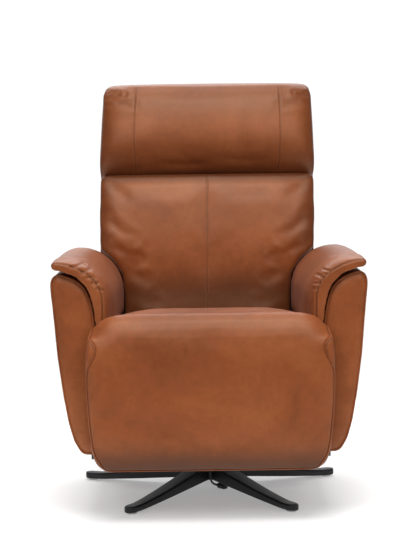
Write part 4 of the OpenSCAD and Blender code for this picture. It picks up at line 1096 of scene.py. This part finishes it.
# Outline from the side, in metres rearwards and up in the leaning frame
GUSSET = [(-0.070, 0.226), (0.002, 0.226), (0.004, 0.30), (0.004, 0.412), (-0.012, 0.419), (-0.060, 0.421),
          (-0.074, 0.400), (-0.078, 0.31)]
GUSSET_OUT = 0.2845
GUSSET_IN = 0.258


def make_gusset():
    outline = smooth_line(GUSSET, 60, closed=True)
    middle = outline.mean(0)
    rings = []
    for x, share in ((GUSSET_IN, 0.85), (GUSSET_IN + 3 * MM, 0.96), (GUSSET_OUT - 8 * MM, 1.0),
                     (GUSSET_OUT - 3 * MM, 0.985), (GUSSET_OUT - 0.8 * MM, 0.94), (GUSSET_OUT, 0.86)):
        flat = middle + (outline - middle) * share
        rings.append(np.stack([np.full(len(flat), x), flat[:, 0], flat[:, 1]], axis=1))
    for name, side in (("back_gusset_right", 1), ("back_gusset_left", -1)):
        gusset = skin(name, [lean(ring * [side, 1, 1]) for ring in rings], leather)
        remesh(gusset, 4 * MM, 3)
        padded(gusset, "back", 0.8)


SHADE_LINING_HALF = 0.243
SHADE_LINING_LOW = 0.04
SHADE_LINING_HIGH = 0.31
SHADE_LINING_DEEP = (-0.064, -0.054)


def make_shade_lining():
    """Dark cloth behind the back cushion, seen only in the slots beside it, where it stands for their shade.
    """
    front, rear = SHADE_LINING_DEEP
    flat = [(-SHADE_LINING_HALF, front), (SHADE_LINING_HALF, front), (SHADE_LINING_HALF, rear), (-SHADE_LINING_HALF, rear)]
    corners = [(x, deep, up) for up in (SHADE_LINING_LOW, SHADE_LINING_HIGH) for x, deep in flat]
    faces = [(0, 1, 2, 3), (4, 5, 6, 7), (0, 1, 5, 4), (1, 2, 6, 5), (2, 3, 7, 6), (3, 0, 4, 7)]
    cloth = put_closed("back_shade_lining", lean(corners), faces, shade_lining)
    remesh(cloth, 3 * MM, 2)
    trim(cloth, "back")


make_gusset()
make_shade_lining()


# Headrest

# Share of the headrest's height: share of the back's half width and of the headrest's depth
HEAD_ROWS = [
    (-0.030, 0.994, 0.30), (-0.024, 1.004, 0.42), (-0.012, 1.010, 0.54), (0.012, 1.014, 0.66),
    (0.048, 1.018, 0.78), (0.10, 1.020, 0.90), (0.17, 1.018, 1.02), (0.27, 1.012, 1.13),
    (0.40, 1.006, 1.19), (0.55, 1.001, 1.19), (0.72, 0.995, 1.16), (0.86, 0.988, 1.10),
    (0.94, 0.976, 1.00), (0.985, 0.945, 0.82), (1, 0.905, 0.58)]
HEAD_SQUARE = 4.2
HEAD_LOW = BACK_LEN + 0.034
HEAD_LEN = 0.2555
HEAD_REAR = -0.030
HEAD_T = 0.095
HEAD_SPLIT = -0.021
HEAD_SHELL_REAR = 0.028
HEAD_SEAM_X = 0.192


def head_point(x, deep, place):
    return lean((x, deep, HEAD_LOW + HEAD_LEN * place))


def make_head():
    front, rear = [], []
    for place in all_places(HEAD_ROWS, HEAD_ROWS[0][0], 1, 22):
        half = BACK_HALF * table(HEAD_ROWS, place, 1)
        out = soft_table(HEAD_ROWS, place, 2, 0.09)
        shell = (HEAD_SHELL_REAR - HEAD_SPLIT) * min(1, out)
        for rings, low, high in ((front, HEAD_REAR - HEAD_T * out, HEAD_SPLIT - 0.5 * MM),
                                 (rear, HEAD_SPLIT + 0.5 * MM, HEAD_SPLIT + shell)):
            rings.append(lean(lying(loop(half, low, high, HEAD_SQUARE), HEAD_LOW + HEAD_LEN * place)))
    head = skin("headrest_cover", front, leather)
    remesh(head, 5.5 * MM, 4)
    co = coords(head)
    tree = surface(head)
    paths = []
    for side in (-1, 1):
        line = [head_point(side * (HEAD_SEAM_X + 0.006 * math.sin(math.pi * t)), HEAD_REAR - HEAD_T, t)
                for t in np.linspace(HEAD_ROWS[0][0], 1.0, 32)]
        paths.append(cast(tree, line[1:-1], LEAN_FRONT)[0])
    near = np.minimum(*(distance_to(co, path, 0.03) for path in paths))
    pins = np.maximum(0.9 * bell(near / (6 * MM)), np.where(leaning(co)[0] > HEAD_SPLIT - 8 * MM, 0.9, 0))
    swell(head, pins, pressure=4.0, cap=5 * MM, bending=5.0, drawn_in_by=1 * MM)
    subdivide(head)
    tree = surface(head)
    paths = [cast(tree, path, LEAN_FRONT)[0] for path in paths]
    for path in paths:
        groove(head, path, width=1.9 * MM, depth=1.4 * MM)
    wrinkle_head(head)
    # Painted shade: darker over the lower half, which faces down, and again towards the top; the sides
    # darker too.
    high = (leaning(coords(head))[1] - HEAD_LOW) / HEAD_LEN
    shade_and_burnish(head, shade(0.45, 0.52 - high, over=0.45), shade(0.34, high - 0.45, over=0.35))
    tree = surface(head)
    padded(head, None, 0.8, "headrest_cushion")
    bend_with_head(head)
    for i, path in enumerate(paths):
        path, face = settle(tree, smooth_line(path, 160))
        threads = topstitch(f"headrest_stitches_{i}", tree, path, face, (-4 * MM, 4 * MM), radius=0.42 * MM)
        trim(threads, None)
        bend_with_head(threads)
    shell = skin("headrest_shell_cover", rear, leather)
    remesh(shell, 5 * MM, 5)
    subdivide(shell)
    padded(shell, None, 0.9, "headrest_shell")
    bend_with_head(shell)
    path = smooth_line([head_point(x, HEAD_SPLIT, u) for x, u in head_outline()], 360, closed=True)
    welt = welt_tube("headrest_welt", path, 2.6 * MM, closed=True)
    trim(welt, None)
    bend_with_head(welt)


def bend_with_head(piece):
    """Bakes a headrest piece's place into its mesh."""
    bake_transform(piece)


def head_outline():
    """The headrest's outline at its side seam, from the lower left corner upwards and round."""
    right = [(BACK_HALF * half * 0.992, place) for place, half, _ in HEAD_ROWS]
    low = HEAD_ROWS[0][0] + 0.004
    right = [(0.0, low), (0.14, low), (0.24, low + 0.002)] + right[1:-1] + [(0.235, 0.996), (0.13, 0.998)]
    left = [(-x, u) for x, u in reversed(right) if x > 0]
    return right + [(0.0, 0.998)] + left


def wrinkle_head(head):
    folds = [
        ([(-0.287, 0.86), (-0.262, 0.835), (-0.228, 0.85)], 7 * MM, 2.6 * MM, 0.18),
        ([(-0.285, 0.93), (-0.262, 0.90), (-0.245, 0.875)], 6 * MM, 1.6 * MM, 0.12),
        ([(0.287, 0.86), (0.268, 0.845), (0.240, 0.855)], 7 * MM, 2.2 * MM, 0.16),
        ([(-0.20, 0.72), (-0.232, 0.73), (-0.262, 0.76)], 10 * MM, 1.2 * MM, 0.05),
        ([(0.20, 0.70), (0.235, 0.72), (0.265, 0.76)], 10 * MM, 1.2 * MM, 0.05),
        ([(-0.16, 0.10), (-0.06, 0.085), (0.04, 0.10)], 9 * MM, 1.3 * MM, 0.08),
        ([(0.03, 0.14), (0.10, 0.12), (0.17, 0.13)], 9 * MM, 1.1 * MM, 0.06),
        ([(-0.12, 0.86), (-0.05, 0.845), (0.03, 0.855)], 12 * MM, 0.8 * MM, 0.03)]
    for path, width, depth, dark in folds:
        place = [head_point(x, HEAD_REAR - HEAD_T * table(HEAD_ROWS, up, 2) * 0.98, up) for x, up in path]
        spots, _ = settle(surface(head), place)
        fold(head, spots, width, depth, dark)


make_head()


# Arms

# Outlines (x, z) of the right arm from the front, in metres: the arm, then its pad's top, seam and foot
ARM_OUTLINE = np.array([
    (0.2485, 0.164), (0.2940, 0.164), (0.3035, 0.170), (0.3190, 0.197), (0.3310, 0.240), (0.342, 0.306),
    (0.3535, 0.395), (0.3595, 0.474), (0.3635, 0.520), (0.3665, 0.550), (0.367, 0.565),
    (0.3645, 0.577), (0.358, 0.585), (0.349, 0.5885), (0.340, 0.588), (0.329, 0.5845), (0.318, 0.580),
    (0.3065, 0.5745), (0.296, 0.567),
    (0.288, 0.559), (0.282, 0.551), (0.2775, 0.542), (0.2735, 0.530), (0.270, 0.517), (0.2675, 0.503),
    (0.265, 0.489), (0.2635, 0.475), (0.262, 0.460), (0.260, 0.440), (0.252, 0.400)])
PAD_TOP = np.array([
    (0.363, 0.596), (0.3675, 0.605), (0.364, 0.6145), (0.352, 0.622), (0.332, 0.6255), (0.308, 0.623),
    (0.284, 0.6125), (0.258, 0.593), (0.237, 0.566), (0.2275, 0.535), (0.225, 0.505), (0.225, 0.475),
    (0.226, 0.452), (0.230, 0.440)])
PAD_SEAM = np.array([
    (0.3615, 0.606), (0.3605, 0.613), (0.355, 0.6165), (0.343, 0.6145), (0.331, 0.612), (0.317, 0.607),
    (0.3045, 0.6025), (0.2925, 0.596), (0.2805, 0.5895), (0.271, 0.582), (0.263, 0.574), (0.2565, 0.566),
    (0.252, 0.5575), (0.248, 0.546), (0.2455, 0.533), (0.2445, 0.519), (0.2443, 0.503), (0.2447, 0.4845),
    (0.2455, 0.465), (0.2465, 0.445)])
PAD_UNDER = np.array([
    (0.361, 0.5955), (0.350, 0.5945), (0.340, 0.593), (0.328, 0.589), (0.316, 0.5845), (0.304, 0.5785),
    (0.295, 0.5695), (0.287, 0.5605), (0.281, 0.5515), (0.277, 0.542), (0.2732, 0.530), (0.2698, 0.517),
    (0.2673, 0.503), (0.2653, 0.489), (0.2638, 0.475), (0.2628, 0.460), (0.2623, 0.442)])


ARM_FRONT_CROWN = 7 * MM
WELT_INSET = 3.6 * MM
FRONT_STITCH_INSET = 9.5 * MM


def arm_curve(count=120):
    """The arm's outline in (x, z), in even steps and smoothed."""
    points = np.vstack([ARM_OUTLINE, ARM_OUTLINE[:1]])
    run = run_of(points)
    dense = read(points, run, np.linspace(0, run[-1], count, endpoint=False))
    for _ in range(3):
        dense = 0.25 * np.roll(dense, 1, axis=0) + 0.5 * dense + 0.25 * np.roll(dense, -1, axis=0)
    return dense


def drawn_in(outline, d):
    way = tangents(outline, closed=True)
    return outline + np.stack([-way[:, 1], way[:, 0]], axis=1) * d


def arm_prism(name, rows):
    outline = arm_curve()
    return skin(name, [standing(drawn_in(outline, d * MM), y) for y, d in rows], leather)


def make_arm_panel():
    """Rows are a depth and how far the outline is drawn in there, in millimetres."""
    front, rear = PANEL_LOW[1], PANEL_HIGH[1]
    rows = [(front - 1 * MM, 3.5), (front + 1 * MM, 1.5), (front + 5 * MM, 0.2)]
    rows += [(y, 0) for y in np.linspace(front + 0.012, rear - 0.012, 16)]
    rows += [(rear - 4 * MM, 0.2), (rear, 1.2), (rear + 3 * MM, 3.2), (rear + 4.5 * MM, 6)]
    piece = arm_prism("arm_cover_right", rows)
    remesh(piece, 5 * MM, 1)
    subdivide(piece)
    return piece


def make_arm_front():
    """The upholstered front of the arm, a flat pillow with a welt round it."""
    low, high = FRONT_LOW[1], FRONT_HIGH[1]
    rows = [(high, 1.5), (high - 3 * MM, 0.2), (low + 6 * MM, 0), (low + 3.5 * MM, 1.2), (low + 2 * MM, 3.5),
            (low + 1.5 * MM, 6)]
    piece = arm_prism("arm_front_cover_right", rows)
    remesh(piece, 4 * MM, 2)
    co = coords(piece)
    outline = np.vstack([arm_curve(), arm_curve()[:1]])
    inset = distance_to(co * [1, 0, 1], standing(outline, 0.0), 1.0)
    crown = ARM_FRONT_CROWN * (1 - np.exp(-np.maximum(inset - 6 * MM, 0) / (11 * MM)))
    facing = smooth_step((high - 7 * MM - co[:, 1]) / (4 * MM))
    set_coords(piece, co - (crown * facing)[:, None] * [0, 1, 0])
    subdivide(piece)
    return piece


def make_front_welt():
    path = standing(drawn_in(arm_curve(200), WELT_INSET), FRONT_LOW[1] + 2.2 * MM)
    return welt_tube("arm_front_welt_right", path, 2.3 * MM, closed=True)


# Rows of the rounded rear end: distance from it and how far the top is drawn down, in millimetres
PAD_REAR_ROWS = ((0, 9), (3, 5), (8, 2), (20, 0.4))
NOSE_ANGLES = (10, 20, 30, 40, 50, 60, 70, 78, 84, 88)
PAD_STATIONS = 60
PAD_NOSE = 75 * MM
PAD_BAND_DEEP = 9 * MM
PAD_HIGHEST = 0.42
PAD_DROP_REAR = 14 * MM
PAD_DROP_FRONT = 4 * MM
# How much shade is painted into each pleat's fold.
PLEAT_DARK = 0.30


def make_pad():
    """The armrest pad: a long roll with a soft nose, and a convex band under the seam of its front."""
    top, seam, under = (smooth_line(c, PAD_STATIONS) for c in (PAD_TOP, PAD_SEAM, PAD_UNDER))
    front, rear = PAD_LOW[1], PAD_HIGH[1]
    body_front = front + PAD_NOSE
    rings = []

    def ring(upper, lower, y_upper, y_lower):
        along = (y_upper - front) / (rear - front)
        drop = PAD_DROP_REAR * max(0, (along - PAD_HIGHEST) / (1 - PAD_HIGHEST)) ** 2
        if upper is top:
            drop += PAD_DROP_FRONT * max(0, (PAD_HIGHEST - along) / PAD_HIGHEST) ** 2
        below = standing(lower[::-1], y_lower)[1:-1]
        return np.vstack([standing(upper, y_upper), below]) - [0, 0, drop]

    gap = np.linalg.norm(top - under, axis=1, keepdims=True)
    for back_by, down in PAD_REAR_ROWS:
        upper = top + (under - top) * np.clip(down * MM / gap, 0, 0.45)
        rings.append(ring(upper, under, rear - back_by * MM, rear - back_by * MM))
    for y in np.linspace(rear - 0.04, body_front, 18):
        rings.append(ring(top, under, y, y))
    for a in np.radians(NOSE_ANGLES):
        upper = seam + (top - seam) * math.cos(a)
        y_lower = body_front + (front + PAD_BAND_DEEP - body_front) * math.sin(a)
        rings.append(ring(upper, under, body_front - PAD_NOSE * math.sin(a), y_lower))
    for share, out in ((0.12, 2.0 * MM), (0.26, 3.0 * MM), (0.42, 3.2 * MM)):
        upper, lower = seam + (under - seam) * share, under + (seam - under) * share * 0.9
        y_lower = front + PAD_BAND_DEEP * (1 - share * 2.2) - out
        rings.append(ring(upper, lower, front - out, y_lower))
    pad = skin("arm_pad_cover_right", rings, leather)
    remesh(pad, 4 * MM, 4)
    co = coords(pad)
    seam_line = standing(seam, front)
    pins = np.where(distance_to(co * [1, 0, 1], standing(under, 0), 0.05) < 7 * MM, 1.0, 0.0)
    pins = np.maximum(pins, bell(distance_to(co, seam_line, 0.03) / (7 * MM)))
    swell(pad, pins, pressure=4.0, cap=5 * MM, bending=2.0, drawn_in_by=1 * MM, grow=0.003)
    subdivide(pad)
    return pad, seam_line


def pleat(piece, points, width, depth):
    """A gather that starts deep at the seam and fades out over the roll, with painted shade in it."""
    spots, _ = cast(surface(piece), [(x, -0.6, z) for x, z in points], (0, 1, 0), 0.4)
    path = smooth_line(spots, 24)
    co = coords(piece)
    near = distance_to(co, path, 5 * width)
    length = run_of(path)[-1]
    run = np.linalg.norm(co - path[0][None], axis=1)
    fade = smooth_step((1.05 * length - run) / (0.7 * length))
    shape = bell(near / width) - 0.55 * bell((near - 2.1 * width) / width)
    set_coords(piece, co - normals(piece) * (depth * fade * shape)[:, None])
    paint(piece, "crease", PLEAT_DARK * fade * bell(near / (0.7 * width)))


# Points (x, z) in metres on the pad's nose, at +X for both pads, then width and depth in millimetres
LEFT_PLEATS = [
    ([(0.3145, 0.604), (0.301, 0.607), (0.286, 0.610), (0.2766, 0.611)], 3.4, 1.3),
    ([(0.2930, 0.593), (0.280, 0.596), (0.267, 0.599)], 4.4, 0.9),
    ([(0.2819, 0.587), (0.2738, 0.588), (0.2657, 0.5885)], 2.6, 1.1),
    ([(0.2772, 0.580), (0.2627, 0.581), (0.248, 0.582)], 3.6, 1.5),
    ([(0.2662, 0.5666), (0.253, 0.5677), (0.240, 0.571)], 2.8, 1.7),
    ([(0.2559, 0.555), (0.247, 0.551), (0.2375, 0.5465)], 3.2, 1.3)]
RIGHT_PLEATS = [
    ([(0.2753, 0.5885), (0.2673, 0.590), (0.2584, 0.591)], 2.8, 1.2),
    ([(0.2656, 0.5813), (0.2607, 0.580), (0.256, 0.579)], 2.6, 0.9),
    ([(0.2599, 0.574), (0.2526, 0.577), (0.2446, 0.577)], 3.2, 1.6),
    ([(0.2542, 0.5596), (0.246, 0.559), (0.2388, 0.5585)], 2.6, 1.3),
    ([(0.2476, 0.548), (0.2428, 0.547), (0.237, 0.5465)], 3.0, 0.9)]


def finish_pad(pad, seam, pleats, side_name, mirror):
    """Seam, pleats and stitches of one pad; they are worked at +X and mirrored for the other side."""
    path, _ = settle(surface(pad), smooth_line(seam, 150))
    groove(pad, path, width=2.4 * MM, depth=2.0 * MM, dark=0.70)
    for points, width, depth in pleats:
        pleat(pad, points, width * MM, depth * MM)
    tree = surface(pad)
    path, face = settle(tree, smooth_line(path, 220))
    face = np.stack([np.convolve(face[:, k], np.ones(9) / 9, "same") for k in range(3)], axis=1)
    threads = topstitch("arm_stitches_" + side_name, tree, path[3:-3], face[3:-3], (-4.2 * MM, 4.2 * MM))
    if mirror:
        twins = mirrored(pad, "arm_pad_cover_left"), mirrored(threads, "arm_thread_left")
        for piece in (pad, threads):
            bpy.data.objects.remove(piece)
        pad, threads = twins
    padded(pad, "chassis", 0.7, "arm_pad_" + side_name)
    trim(threads, "chassis")


def make_front_stitches(front):
    """A twin line of thread inside the welt, along the top and the inner edge of the arm's front."""
    shape = drawn_in(arm_curve(240), FRONT_STITCH_INSET)
    shape = shape[(shape[:, 1] > 0.42) & ((shape[:, 0] < 0.30) | (shape[:, 1] > 0.555))]
    tree = surface(front)
    path, face = cast(tree, [(x, FRONT_LOW[1] - 0.1, z) for x, z in smooth_line(shape, 120)], (0, 1, 0))
    return topstitch("arm_front_stitches_right", tree, path, face, (0,), radius=0.5 * MM)


def trim_both(piece, left_name):
    """A trimming of the right arm and its twin on the left."""
    twin = mirrored(piece, left_name)
    trim(piece, "chassis")
    trim(twin, "chassis")


def make_arms():
    for make, name, node in ((make_arm_panel, "arm_cover_left", "arm_panel_"),
                             (make_arm_front, "arm_front_cover_left", "arm_front_")):
        piece = make()
        twin = mirrored(piece, name)
        padded(piece, "chassis", 0.95, node + "right")
        padded(twin, "chassis", 0.95, node + "left")
    trim_both(make_front_welt(), "arm_front_welt_left")
    trim_both(make_front_stitches(piece), "arm_front_stitches_left")
    pad, seam = make_pad()
    other = show("arm_pad_form_left", pad.data.copy())
    finish_pad(pad, seam, RIGHT_PLEATS, "right", False)
    finish_pad(other, seam, LEFT_PLEATS, "left", True)


make_arms()


# Floor and light

FLOOR_REACH = 1.7
FLOOR_NEAR = -1.15
FLOOR_FAR = 1.25
BACKDROP = 1.06
BACKDROP_FROM = 0.60
BACKDROP_FULL = 0.93
ROOM = 0.16


def make_floor():
    it = Finish("pale_floor")
    clouds = it.noise(it.where(), 0.8, 3.0)
    it.feed("Base Color", it.ramp(clouds, (0.2, grey(0.80)), (0.8, grey(0.83))))
    set_inputs(it.shader, {"Roughness": 0.85, "Specular IOR Level": 0.1, "Emission Color": (1, 1, 1, 1),
                           "Emission Strength": 0.30})
    corners = [(-FLOOR_REACH, FLOOR_NEAR, 0), (FLOOR_REACH, FLOOR_NEAR, 0), (FLOOR_REACH, FLOOR_FAR, 0),
               (-FLOOR_REACH, FLOOR_FAR, 0)]
    put("floor", corners, [(0, 1, 2, 3)], it.material, smooth=False)


def make_world():
    """A white backdrop behind the chair and a darker room round it."""
    world = bpy.data.worlds.new("studio")
    bpy.context.scene.world = world
    world.use_nodes = True
    nodes, links = world.node_tree.nodes, world.node_tree.links
    where = nodes.new("ShaderNodeTexCoord")
    split = nodes.new("ShaderNodeSeparateXYZ")
    links.new(where.outputs["Generated"], split.inputs[0])
    spread = nodes.new("ShaderNodeMapRange")
    spread.interpolation_type = "SMOOTHSTEP"
    set_inputs(spread, {"From Min": BACKDROP_FROM, "From Max": BACKDROP_FULL,
                        "To Min": ROOM, "To Max": BACKDROP})
    links.new(split.outputs["Y"], spread.inputs["Value"])
    links.new(spread.outputs[0], nodes["Background"].inputs["Strength"])
    nodes["Background"].inputs["Color"].default_value = (1, 1, 1, 1)


# Name, place, aim, size and power of each area light
LIGHTS = (
    ("key_left", (-1.2, -2.5, 2.05), (0, 0, 0.65), (0.5, 1.0), 20),
    ("key_right", (1.2, -2.5, 2.0), (0, 0, 0.65), (0.5, 1.0), 18),
    ("front_top", (0, -2.6, 4.2), (0, 0, 0.50), (2.6, 1.4), 146),
    ("overhead", (0, -0.1, 4.5), (0, -0.1, 0), (2.4, 2.0), 62),
    ("rear", (0, 1.5, 2.3), (0, 1.0, 0), (2.6, 1.0), 34))


def make_lights():
    for name, place, aim, size, power in LIGHTS:
        data = bpy.data.lights.new(name, "AREA")
        data.shape = "RECTANGLE"
        data.size, data.size_y = size
        data.energy = power
        light = show(name, data)
        light.location = place
        light.rotation_euler = (Vector(aim) - Vector(place)).to_track_quat("-Z", "Y").to_euler()
    view = bpy.context.scene.view_settings
    view.view_transform = "Standard"
    view.look = "None"


make_world()
make_floor()
make_lights()
